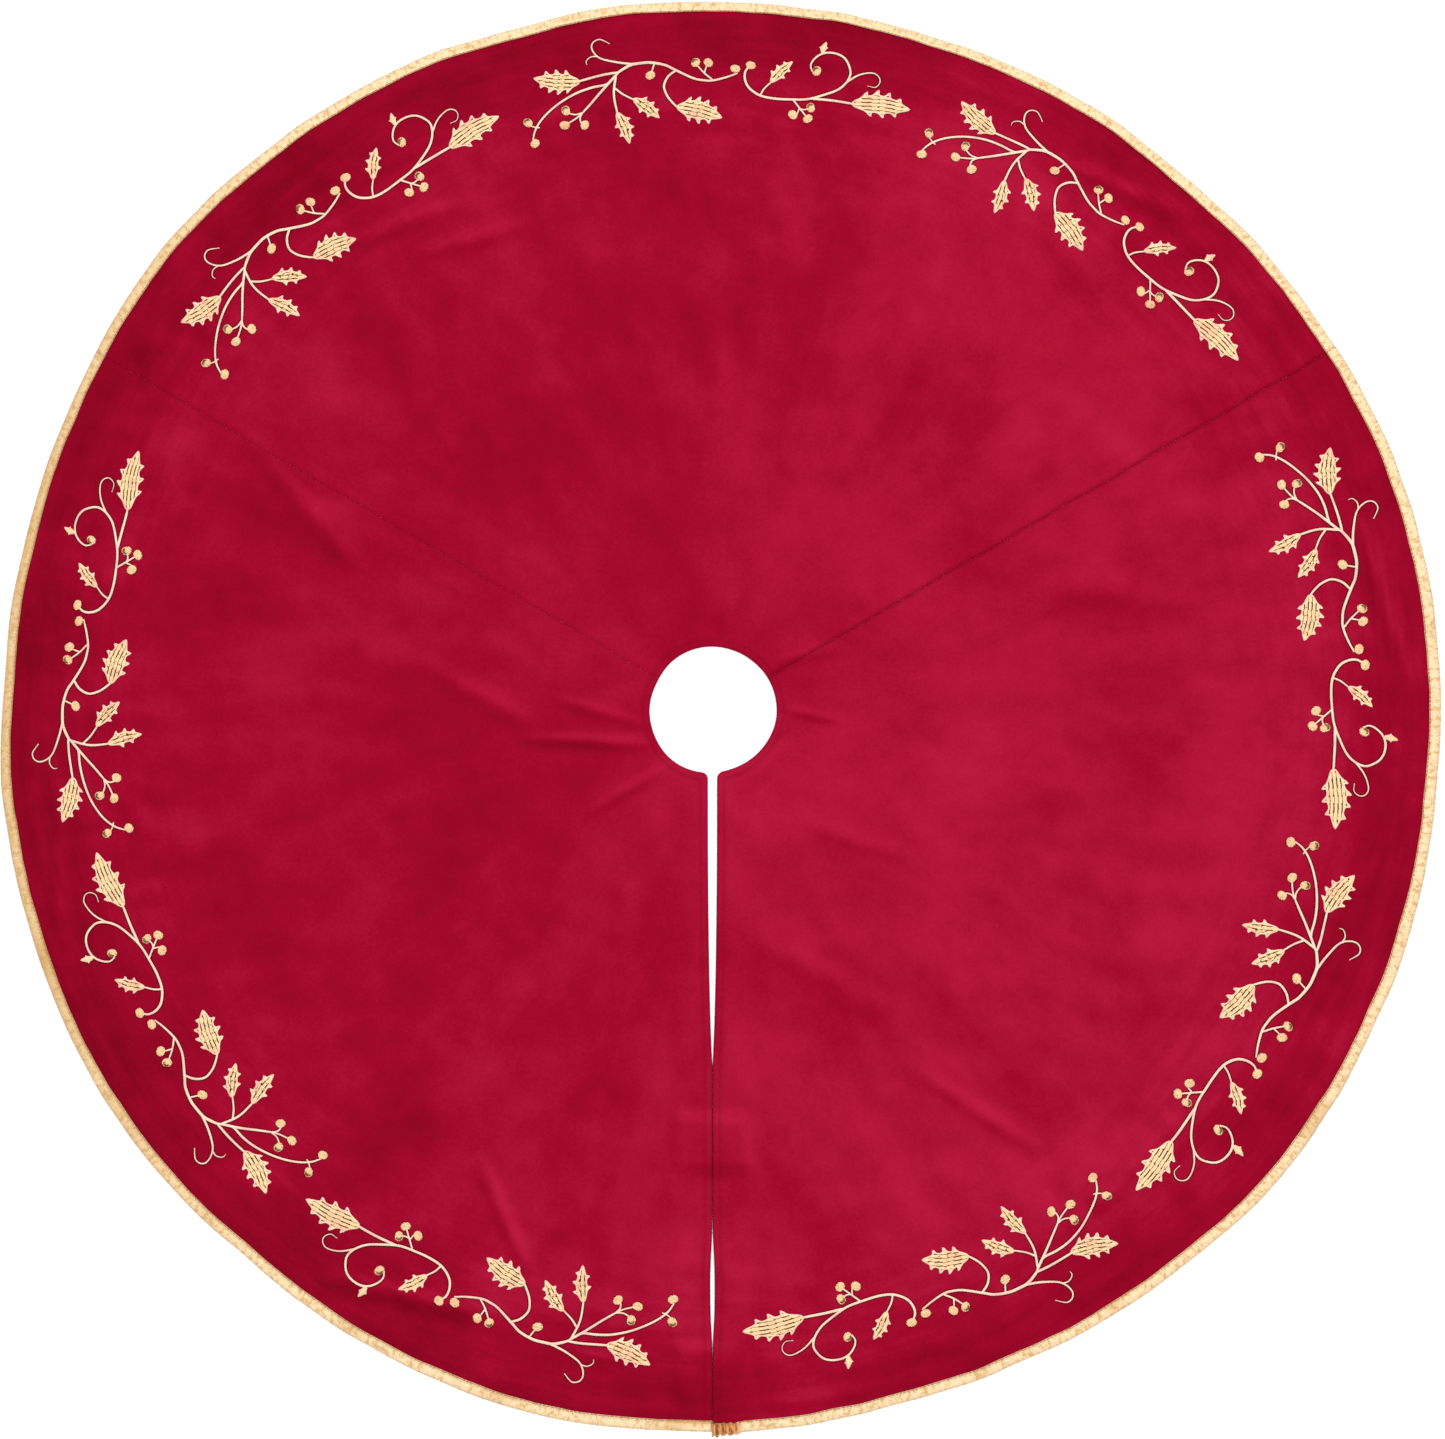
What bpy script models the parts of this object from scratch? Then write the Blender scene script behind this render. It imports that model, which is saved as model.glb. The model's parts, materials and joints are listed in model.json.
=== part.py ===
# Round velvet Christmas tree skirt, laid flat round its trunk hole.
# Three lined gores with a gold folded hem binding, nine embroidered holly sprigs and two
# hook-and-loop closures under the slit. Metres, +Z up, origin on the floor under the centre
# of the trunk hole. The slit runs from the hole towards -Y.

from math import asin, ceil, cos, pi, radians, sin

import bmesh
import bpy
from mathutils import Matrix, Vector

# Driving dimensions: outline
SKIRT_RADIUS = 0.6096
HOLE_RADIUS = 0.053
SLIT_GAP_AT_HOLE = 0.0072        # the slit's two edges gape at the hole ...
SLIT_GAPING_LENGTH = 0.247       # ... and come together this far from it
SLIT_GAP = 0.0006
SEAM_GAP = 0.0006

# Cloth, binding and thread
LINING_THICKNESS = 0.0004
VELVET_THICKNESS = 0.0012
BINDING_WIDTH = 0.0095
BINDING_THICKNESS = 0.0005
THREAD_HEIGHT = 0.0007
LAYER_CLEARANCE = 0.0003         # between pieces that lie on each other
THREAD_CLEARANCE = 0.0004        # under the embroidery

# Hook-and-loop closures, by their distance in from the hem
CLOSURE_INSETS = {"inner": 0.2426, "outer": 0.0496}
TAB_REACH = 0.020
TAB_WIDTH = 0.026
TAB_THICKNESS = 0.0004
TAPE_THICKNESS = 0.0006
TAPE_MARGIN = 0.002              # from the tab's edges to its hook tape
TAB_ROOT_CLEARANCE = 0.0008      # from the fold line at the slit edge to the tab's root
CLOTH_MARGIN = 0.002             # flat cloth past the tab before it drops
CLOTH_RAMP = 0.012               # length in which the raised cloth drops to its usual level

# Embroidered sprigs
SPRIGS_PER_GORE = 3
SPRIG_INSET = 0.0822             # from the hem to the sprig's reference line
SPRIG_END_GAP = 0.0166           # between neighbouring sprigs, along that line
SPRIG_SEAM_MARGIN = 0.0373       # from a seam or the slit to the first sprig
SPRIG_DRAWING_LENGTH = 0.3324    # length along the line at which the drawing below is full size
SPRIG_ROW_TURN = {"back": -0.3, "left": 1.0, "right": -0.9}    # degrees off the gore's middle

# Facets
ARC_STEPS = 16
ROW_SPACING = 0.12

# Each gore lies between two angles, in degrees from +X; the slit is at 270.
GORES = {"back": (30, 150), "left": (150, 270), "right": (270, 390)}
SLIT_SIDE = {"back": None, "left": "end", "right": "start"}
GORE_SPAN = radians(120)

# Levels above the floor, each from the one under it
lining_level = BINDING_THICKNESS + LAYER_CLEARANCE
velvet_level = lining_level + LINING_THICKNESS + LAYER_CLEARANCE
velvet_top = velvet_level + VELVET_THICKNESS
binding_top = velvet_top + LAYER_CLEARANCE + BINDING_THICKNESS
thread_level = velvet_top + THREAD_CLEARANCE

# A stowed tab lies over its hook tape; closed, it turns over and lies under it.
tab_stowed_level = TAPE_THICKNESS + LAYER_CLEARANCE
tab_hinge_level = (tab_stowed_level + TAB_THICKNESS) / 2
loop_level = 2 * tab_hinge_level + LAYER_CLEARANCE
cloth_lift = loop_level + TAPE_THICKNESS + LAYER_CLEARANCE - lining_level

# Each side gore folds over about its seam, the left one first and the right one on top of it.
# A rigid gore turns about a line high enough for the folded pile to lie in layers.
pile_top = max(velvet_top + cloth_lift, binding_top, thread_level + THREAD_HEIGHT)
left_fold_level = pile_top + LAYER_CLEARANCE
right_fold_level = left_fold_level + pile_top / 2 + LAYER_CLEARANCE
fold_levels = {"left": left_fold_level, "right": right_fold_level}

cloth_radius = SKIRT_RADIUS - BINDING_THICKNESS - LAYER_CLEARANCE
tab_hinge_x = -SLIT_GAP / 2
sprig_radius = SKIRT_RADIUS - SPRIG_INSET


# ---------------------------------------------------------------------------------------
# Scene and materials

for old in list(bpy.data.objects):
    bpy.data.objects.remove(old)

skirt = bpy.data.collections.new("tree_skirt")
bpy.context.scene.collection.children.link(skirt)
shapes = bpy.data.collections.new("stitch_shapes")
bpy.context.scene.collection.children.link(shapes)


def make_material(name, color, roughness, metallic=0.0):
    material = bpy.data.materials.new(name)
    material.use_nodes = True
    shader = material.node_tree.nodes["Principled BSDF"]
    shader.inputs["Base Color"].default_value = (*color, 1.0)
    shader.inputs["Roughness"].default_value = roughness
    shader.inputs["Metallic"].default_value = metallic
    material.diffuse_color = (*color, 1.0)
    return material


velvet = make_material("red_velvet", (0.38, 0.004, 0.026), 0.85)
satin = make_material("red_lining", (0.30, 0.006, 0.018), 0.55)
gold_cloth = make_material("gold_binding", (0.83, 0.62, 0.30), 0.45, 0.3)
gold_thread = make_material("gold_thread", (0.87, 0.68, 0.38), 0.5)
webbing = make_material("closure_tape", (0.25, 0.008, 0.02), 0.8)


# The seams' fold axes carry the side gores; the back gore stays put.
fold_axes = {}
for side, level in fold_levels.items():
    fold_axes[side] = bpy.data.objects.new(f"{side}_fold_axis", None)
    fold_axes[side].location = (0, 0, level)
    fold_axes[side].empty_display_size = HOLE_RADIUS
    skirt.objects.link(fold_axes[side])


def add_object(name, mesh, material, gore, place=None):
    if not mesh.materials:
        mesh.materials.append(material)
    piece = bpy.data.objects.new(name, mesh)
    piece.matrix_world = place or Matrix()
    skirt.objects.link(piece)
    if gore in fold_axes:
        piece.parent = fold_axes[gore]
        piece.matrix_parent_inverse = Matrix.Translation((0, 0, -fold_levels[gore]))
    return piece


# ---------------------------------------------------------------------------------------
# Closures: where they sit, and how the cloth rises over them

def closure_radius(closure):
    return SKIRT_RADIUS - CLOSURE_INSETS[closure]


def flat_half_length():
    return TAB_WIDTH / 2 + CLOTH_MARGIN


def closure_angles(closure):
    # From the slit: how far the raised cloth is flat, and where it is down again.
    reach = TAB_REACH + TAB_ROOT_CLEARANCE + CLOTH_MARGIN
    flat = asin(reach / (closure_radius(closure) - flat_half_length()))
    return flat, flat + CLOTH_RAMP / closure_radius(closure)


def falling(value, flat_end, zero_end):
    return min(1.0, max(0.0, (zero_end - value) / (zero_end - flat_end)))


def raised(radius, slit_angle):
    height = 0.0
    for closure in CLOSURE_INSETS:
        across = falling(slit_angle, *closure_angles(closure))
        off_centre = abs(radius - closure_radius(closure))
        along = falling(off_centre, flat_half_length(), flat_half_length() + CLOTH_RAMP)
        height = max(height, cloth_lift * across * along)
    return height


# ---------------------------------------------------------------------------------------
# Gores

def evenly(start, end, steps):
    return [start + (end - start) * step / steps for step in range(steps + 1)]


def gore_columns(gore):
    # Angles from the gore's first edge. Beside the slit they follow the closures.
    if SLIT_SIDE[gore] is None:
        return evenly(0, GORE_SPAN, ARC_STEPS)
    near_slit = sorted({angle for closure in CLOSURE_INSETS for angle in closure_angles(closure)})
    from_slit = [0.0] + near_slit[:-1] + evenly(near_slit[-1], GORE_SPAN, ARC_STEPS)
    if SLIT_SIDE[gore] == "start":
        return from_slit
    return [GORE_SPAN - angle for angle in reversed(from_slit)]


def gore_rows(gore):
    # Radii from the hole to the hem, with one at each break in the raised cloth.
    stops = {HOLE_RADIUS, cloth_radius}
    if SLIT_SIDE[gore] is not None:
        for closure in CLOSURE_INSETS:
            for reach in (flat_half_length(), flat_half_length() + CLOTH_RAMP):
                stops.update((closure_radius(closure) - reach, closure_radius(closure) + reach))
    stops = sorted(stops)
    rows = stops[:1]
    for start, end in zip(stops, stops[1:]):
        rows += evenly(start, end, ceil((end - start) / ROW_SPACING))[1:]
    return rows


def slit_half_gap(radius):
    gaping = max(0.0, 1 - (radius - HOLE_RADIUS) / SLIT_GAPING_LENGTH)
    return (SLIT_GAP + (SLIT_GAP_AT_HOLE - SLIT_GAP) * gaping) / 2


def edge_angle(gore, side, radius):
    half_gap = slit_half_gap(radius) if SLIT_SIDE[gore] == side else SEAM_GAP / 2
    return asin(half_gap / radius)


def gore_point(gore, offset, radius, level):
    # The gore's angles are squeezed a little to leave the gaps along its two edges.
    first = edge_angle(gore, "start", radius)
    last = edge_angle(gore, "end", radius)
    angle = radians(GORES[gore][0]) + first + offset * (1 - (first + last) / GORE_SPAN)
    return Vector((radius * cos(angle), radius * sin(angle), level))


def slit_angle(gore, offset):
    return {"start": offset, "end": GORE_SPAN - offset, None: GORE_SPAN}[SLIT_SIDE[gore]]


def mapped_grid(name, x_count, y_count, place):
    mesh = bpy.data.meshes.new(name)
    grid = bmesh.new()
    bmesh.ops.create_grid(grid, x_segments=x_count - 1, y_segments=y_count - 1, size=0.5)
    for vert in grid.verts:
        column = round((vert.co.x + 0.5) * (x_count - 1))
        row = round((vert.co.y + 0.5) * (y_count - 1))
        vert.co = place(column, row)
    grid.to_mesh(mesh)
    grid.free()
    return mesh


def thicken(piece, thickness, offset):
    shell = piece.modifiers.new("thickness", "SOLIDIFY")
    shell.thickness = thickness
    shell.offset = offset
    shell.use_even_offset = True


def make_sheet(layer, gore, level, thickness, material):
    rows = gore_rows(gore)
    columns = gore_columns(gore)

    def place(row, column):
        height = level + raised(rows[row], slit_angle(gore, columns[column]))
        return gore_point(gore, columns[column], rows[row], height)

    name = f"{layer}_{gore}"
    sheet = add_object(name, mapped_grid(name, len(rows), len(columns), place), material, gore)
    thicken(sheet, thickness, 1.0)


def make_binding(gore):
    # A folded strip, open towards the middle of the skirt: bottom leg, outer wall, top leg.
    columns = gore_columns(gore)
    inner = SKIRT_RADIUS - BINDING_WIDTH
    profile = [(inner, 0.0), (SKIRT_RADIUS, 0.0), (SKIRT_RADIUS, binding_top), (inner, binding_top)]

    def place(corner, column):
        radius, level = profile[corner]
        return gore_point(gore, columns[column], radius, level)

    name = f"hem_binding_{gore}"
    strip = add_object(name, mapped_grid(name, len(profile), len(columns), place), gold_cloth, gore)
    thicken(strip, BINDING_THICKNESS, 1.0)


# ---------------------------------------------------------------------------------------
# Closures

def make_block(name, low, high, material, gore, origin):
    mesh = bpy.data.meshes.new(name)
    block = bmesh.new()
    bmesh.ops.create_cube(block, size=1.0)
    low, high, origin = Vector(low), Vector(high), Vector(origin)
    bmesh.ops.scale(block, vec=high - low, verts=block.verts)
    bmesh.ops.translate(block, vec=(low + high) / 2 - origin, verts=block.verts)
    block.to_mesh(mesh)
    block.free()
    add_object(name, mesh, material, gore, Matrix.Translation(origin))


def make_closure(closure):
    middle = -closure_radius(closure)
    hinge = (tab_hinge_x, middle, tab_hinge_level)
    half_tab = TAB_WIDTH / 2
    half_tape = half_tab - TAPE_MARGIN
    root = tab_hinge_x - TAB_ROOT_CLEARANCE
    tip = root - TAB_REACH
    make_block(
        f"closure_tab_{closure}",
        (tip, middle - half_tab, tab_stowed_level),
        (root, middle + half_tab, tab_stowed_level + TAB_THICKNESS),
        webbing, "left", hinge)
    make_block(
        f"hook_tape_{closure}",
        (tip + TAPE_MARGIN, middle - half_tape, 0.0),
        (root - TAPE_MARGIN, middle + half_tape, TAPE_THICKNESS),
        webbing, "left", hinge)
    # The loop patch is where the hook tape comes when the tab has turned half a turn.
    make_block(
        f"loop_patch_{closure}",
        (2 * tab_hinge_x - root + TAPE_MARGIN, middle - half_tape, loop_level),
        (2 * tab_hinge_x - tip - TAPE_MARGIN, middle + half_tape, loop_level + TAPE_THICKNESS),
        webbing, "right", hinge)


# ---------------------------------------------------------------------------------------
# Embroidered sprigs. The drawing is in millimetres at full size: x runs clockwise along the
# hem, y outwards, and (0, 0) is on the sprig's reference line. Each stem is a run of points
# with its width at the two ends; a leaf goes from its base to its tip with a width.

BRANCH = {
    "stems": [
        ([(-84, 14), (-72, 21), (-57, 23), (-38, 18), (-20, 10), (-4, 8), (15, 15)], 3.2, 2.4),
        ([(-70, 21.5), (-92, 24), (-104, 30), (-107.5, 38), (-102, 44), (-94, 41.5)], 3.0, 1.4),
        ([(-84, 15), (-101, -4.5), (-114, -20), (-128, -31.5)], 3.0, 2.0),
        ([(-85, 13), (-106, 9.5), (-121, 6)], 2.4, 2.2),
        ([(-93, 4), (-108, 1), (-132, -11), (-149, -28), (-156, -45)], 2.4, 2.6),
        ([(-86, 12), (-88, -8), (-84, -24)], 2.4, 2.2),
        ([(-87.5, 1), (-70, -9.5)], 2.2, 2.0),
        ([(-35, 17), (-45, 3), (-39, -11), (-31, -18)], 2.2, 2.4),
        ([(-3, 8), (-17.5, 23)], 2.0, 2.0),
        ([(-11.5, 14), (-8, 23)], 2.0, 2.0),
        ([(-54, 22), (-57, 12)], 2.0, 2.0),
        ([(-114, -21), (-127, -20)], 2.0, 2.0),
        ([(-115, -21), (-113, -31)], 2.0, 2.0),
        ([(-150.5, -34.5), (-160, -30.5)], 2.0, 2.0),
    ],
    "leaves": [
        ((-118, 6), (-156, 9.5), 14), ((-85, -21), (-73.5, -48.5), 13),
        ((-72, -8), (-49, -25.5), 13), ((-34, -15), (4, -25), 20),
    ],
    "berries": [
        (15.6, 18.4), (-18.3, 24), (-7.8, 24), (-57, 11.5), (-128.7, -19.4), (-129.3, -32.3),
        (-112.2, -32), (-160.5, -30), (-153.3, -48.5),
    ],
}
SCROLL = {
    "stems": [
        ([(26.5, 22), (23.6, 13), (27, 2.5), (39, -5.6), (62, -8), (88, -5), (104, 1.5), (113, 10),
          (114, 21), (105.5, 31.5), (92, 32.8), (81, 25), (81.5, 17)], 2.4, 2.4),
        ([(107, 4.5), (119, 13), (134.5, 16), (139.3, 9.5), (133, 3.8)], 2.4, 1.4),
        ([(36.5, -5), (41, 1.5), (48, 9)], 2.0, 2.0),
        ([(74, -7.6), (117, -11.3)], 2.6, 2.4),
        ([(65.5, -8.5), (77.5, -24)], 2.0, 2.0),
        ([(69.5, -13), (65, -20)], 2.0, 2.0),
        ([(70.5, -15.5), (79, -15.2)], 2.0, 2.0),
    ],
    "leaves": [((89.5, 31.5), (94, 42.8), 5.5), ((45.5, 7), (64.5, 26), 10), ((114, -11), (164.8, -15), 20)],
    "berries": [(29, 22), (85.6, 17.4), (64.6, -21.3), (77.4, -25.1), (79.7, -15.2)],
}
BERRY_RADIUS = 3.9
BERRY_SIDES = 6
# Along a leaf and out from its middle, as shares of its length and half width: bay, spine, ...
LEAF_EDGE = [(0.16, 0.62), (0.30, 1.0), (0.46, 0.72), (0.62, 0.92), (0.80, 0.38)]


def ribbon_outline(points, first_width, last_width):
    left, right = [], []
    for index, point in enumerate(points):
        before = Vector(points[max(index - 1, 0)])
        after = Vector(points[min(index + 1, len(points) - 1)])
        side = (after - before).normalized().orthogonal()
        half = (first_width + (last_width - first_width) * index / (len(points) - 1)) / 2
        left.append(Vector(point) + side * half)
        right.append(Vector(point) - side * half)
    return left + right[::-1]


def leaf_outline(base, tip, width):
    base, tip = Vector(base), Vector(tip)
    along = tip - base
    side = along.normalized().orthogonal() * width / 2
    left = [base + along * share + side * out for share, out in LEAF_EDGE]
    right = [base + along * share - side * out for share, out in LEAF_EDGE]
    return [base] + left + [tip] + right[::-1]


def berry_outline(centre):
    turns = [2 * pi * step / BERRY_SIDES for step in range(BERRY_SIDES)]
    return [Vector(centre) + BERRY_RADIUS * Vector((cos(turn), sin(turn))) for turn in turns]


def flat_shape(name, outline, scale, height):
    # A flat outline raised to its height, as a closed mesh that stands on its own zero level.
    curve = bpy.data.curves.new(name, "CURVE")
    curve.dimensions = "2D"
    curve.fill_mode = "BOTH"
    curve.extrude = height / 2
    line = curve.splines.new("POLY")
    line.points.add(len(outline) - 1)
    for point, (x, y) in zip(line.points, outline):
        point.co = (x * scale, y * scale, 0, 1)
    line.use_cyclic_u = True
    flat = bpy.data.objects.new(name, curve)
    shapes.objects.link(flat)
    bpy.context.view_layer.update()
    mesh = bpy.data.meshes.new_from_object(flat.evaluated_get(bpy.context.evaluated_depsgraph_get()))
    bpy.data.objects.remove(flat)
    solid = bmesh.new()
    solid.from_mesh(mesh)
    bmesh.ops.remove_doubles(solid, verts=solid.verts, dist=1e-6)
    bmesh.ops.translate(solid, vec=(0, 0, height / 2), verts=solid.verts)
    bmesh.ops.recalc_face_normals(solid, faces=solid.faces)
    solid.to_mesh(mesh)
    solid.free()
    piece = bpy.data.objects.new(name, mesh)
    piece.hide_render = True
    piece.display_type = "WIRE"
    shapes.objects.link(piece)
    return piece


def stitched_mesh(name, drawing, scale):
    # All the drawing's stems, leaves and berries, joined into one body.
    outlines = [ribbon_outline(*stem) for stem in drawing["stems"]]
    outlines += [leaf_outline(*leaf) for leaf in drawing["leaves"]]
    outlines += [berry_outline(centre) for centre in drawing["berries"]]
    pieces = [flat_shape(f"{name}_shape", outline, scale, THREAD_HEIGHT) for outline in outlines]
    joined = pieces[0]
    shapes.objects.unlink(joined)
    bpy.context.scene.collection.objects.link(joined)
    union = joined.modifiers.new("join", "BOOLEAN")
    union.operation = "UNION"
    union.operand_type = "COLLECTION"
    union.collection = shapes
    bpy.context.view_layer.update()
    graph = bpy.context.evaluated_depsgraph_get()
    mesh = bpy.data.meshes.new_from_object(joined.evaluated_get(graph))
    mesh.name = name
    for piece in pieces:
        bpy.data.objects.remove(piece)
    return mesh


def sprig_angles(gore, pitch):
    middle = radians(sum(GORES[gore]) / 2 + SPRIG_ROW_TURN[gore])
    return [middle + pitch * (index - (SPRIGS_PER_GORE - 1) / 2) for index in range(SPRIGS_PER_GORE)]


def make_sprigs():
    room = GORE_SPAN * sprig_radius - 2 * SPRIG_SEAM_MARGIN - (SPRIGS_PER_GORE - 1) * SPRIG_END_GAP
    length = room / SPRIGS_PER_GORE
    pitch = (length + SPRIG_END_GAP) / sprig_radius
    scale = 0.001 * length / SPRIG_DRAWING_LENGTH
    for motif, drawing in (("branch", BRANCH), ("scroll", SCROLL)):
        mesh = stitched_mesh(f"sprig_{motif}", drawing, scale)
        for gore in GORES:
            for number, angle in enumerate(sprig_angles(gore, pitch), start=1):
                turn = Matrix.Rotation(angle - pi / 2, 4, "Z")
                place = turn @ Matrix.Translation((0, sprig_radius, thread_level))
                add_object(f"sprig_{motif}_{gore}_{number}", mesh, gold_thread, gore, place)


for gore_name in GORES:
    make_sheet("velvet_gore", gore_name, velvet_level, VELVET_THICKNESS, velvet)
    make_sheet("lining_gore", gore_name, lining_level, LINING_THICKNESS, satin)
    make_binding(gore_name)
for closure_name in CLOSURE_INSETS:
    make_closure(closure_name)
make_sprigs()
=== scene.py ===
import json
import math

import bmesh
import bpy
import numpy as np
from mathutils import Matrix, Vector, noise
from mathutils.bvhtree import BVHTree
from mathutils.geometry import delaunay_2d_cdt

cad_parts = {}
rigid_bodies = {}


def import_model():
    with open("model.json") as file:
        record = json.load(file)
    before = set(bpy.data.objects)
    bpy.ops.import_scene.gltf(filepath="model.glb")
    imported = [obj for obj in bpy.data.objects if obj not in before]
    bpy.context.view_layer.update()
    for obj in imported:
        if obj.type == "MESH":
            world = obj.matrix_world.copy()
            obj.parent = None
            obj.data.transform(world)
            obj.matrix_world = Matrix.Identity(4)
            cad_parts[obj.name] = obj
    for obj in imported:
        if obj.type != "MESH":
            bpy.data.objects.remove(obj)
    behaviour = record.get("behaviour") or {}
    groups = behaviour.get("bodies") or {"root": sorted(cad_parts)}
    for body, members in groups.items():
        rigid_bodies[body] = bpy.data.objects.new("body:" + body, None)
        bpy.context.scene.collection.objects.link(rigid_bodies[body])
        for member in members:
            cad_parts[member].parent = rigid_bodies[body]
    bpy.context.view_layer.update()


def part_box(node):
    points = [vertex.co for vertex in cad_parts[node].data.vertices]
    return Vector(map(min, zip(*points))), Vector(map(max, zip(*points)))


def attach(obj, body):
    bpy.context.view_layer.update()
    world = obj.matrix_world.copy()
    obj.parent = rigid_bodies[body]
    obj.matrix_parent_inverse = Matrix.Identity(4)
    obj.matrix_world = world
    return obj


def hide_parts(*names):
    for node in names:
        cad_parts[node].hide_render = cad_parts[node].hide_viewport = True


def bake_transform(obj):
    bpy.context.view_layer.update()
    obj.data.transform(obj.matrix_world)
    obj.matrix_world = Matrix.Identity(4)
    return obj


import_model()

# Velvet tree skirt, laid out on a pale floor and seen from straight above.
# Every piece is first drawn flat, at its sewn size, and then laid by one shared map of how
# the cloth lies, so the velvet, the lining, the binding and the stitches all move together.

for leftover in [o for o in bpy.data.objects if o.name in ("Cube", "Light", "Camera")]:
    bpy.data.objects.remove(leftover)

millimetre = 0.001
fullTurn = 2 * math.pi

# Camera.
viewValues = {"middle": (0.0085, -0.0089), "height": 2.89, "lens": 85.0}


def makeCamera(values):
    camera = bpy.data.cameras.new("overhead")
    camera.lens = values["lens"]
    camera.sensor_width = 36.0
    camera.clip_end = 50.0
    stand = bpy.data.objects.new("overhead", camera)
    stand.location = (*values["middle"], values["height"])
    bpy.context.scene.collection.objects.link(stand)
    bpy.context.scene.camera = stand
    print("camera ready")


makeCamera(viewValues)

# Sewn sizes, from the frame.
holeRadius = 2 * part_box("velvet_gore_back")[0].y      # the back gore's corners are 30 degrees up
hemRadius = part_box("hem_binding_back")[1].y
velvetUnder, velvetTop = 0.0011, 0.0022               # above the lowest point of the cloth pile
gores = {"right": (0, 120), "back": (120, 240), "left": (240, 360)}   # turn from the slit
seamTurns = [math.radians(120), math.radians(240)]
closureMiddles = {name: -sum(corner.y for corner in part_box(f"closure_tab_{name}")) / 2
                  for name in ("inner", "outer")}

slitValues = {
    "gapeAtHole": 0.0078,     # width of the slit where it opens into the hole
    "restGap": 0.00006,       # where its edges lie side by side
    "gapeLength": 0.247,      # from the hole
    "closing": 2.6,           # higher keeps it wide for longer
    "looseGap": 0.0036,       # a second, slight opening nearer the hem
    "looseAt": 0.4905,
    "looseReach": 0.038,
    "mouthRound": 0.0052,     # radius of the two turned corners at the hole
}


def slitHalfGap(radius):
    values = slitValues
    radius = np.asarray(radius, float)
    share = np.clip((radius - holeRadius) / values["gapeLength"], 0, 1)
    gap = values["restGap"]
    gap = gap + (values["gapeAtHole"] - values["restGap"]) * (1 - share ** values["closing"]) ** 0.8
    gap = gap + values["looseGap"] * np.exp(-(np.abs(radius - values["looseAt"]) / values["looseReach"]) ** 3)
    corner = np.clip(1 - (radius - holeRadius) / values["mouthRound"], 0, 1)
    return gap / 2 + values["mouthRound"] * (1 - np.sqrt(1 - corner ** 2))


def turnFromSlit(points):
    return np.mod(np.arctan2(points[..., 1], points[..., 0]) + math.pi / 2, fullTurn)


def atTurn(radius, turn):
    angle = np.asarray(turn) - math.pi / 2
    return np.stack([radius * np.cos(angle), radius * np.sin(angle)], axis=-1)


def smooth(low, high, value):
    share = np.clip((np.asarray(value, float) - low) / (high - low), 0, 1)
    return share * share * (3 - 2 * share)


def noiseAt(points, scale, seed=0.0):
    return np.array([noise.noise(Vector((x * scale, y * scale, seed))) for x, y in points])


def meshPlaces(mesh):
    places = np.zeros(len(mesh.vertices) * 3)
    mesh.vertices.foreach_get("co", places)
    return places.reshape(-1, 3)


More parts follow.
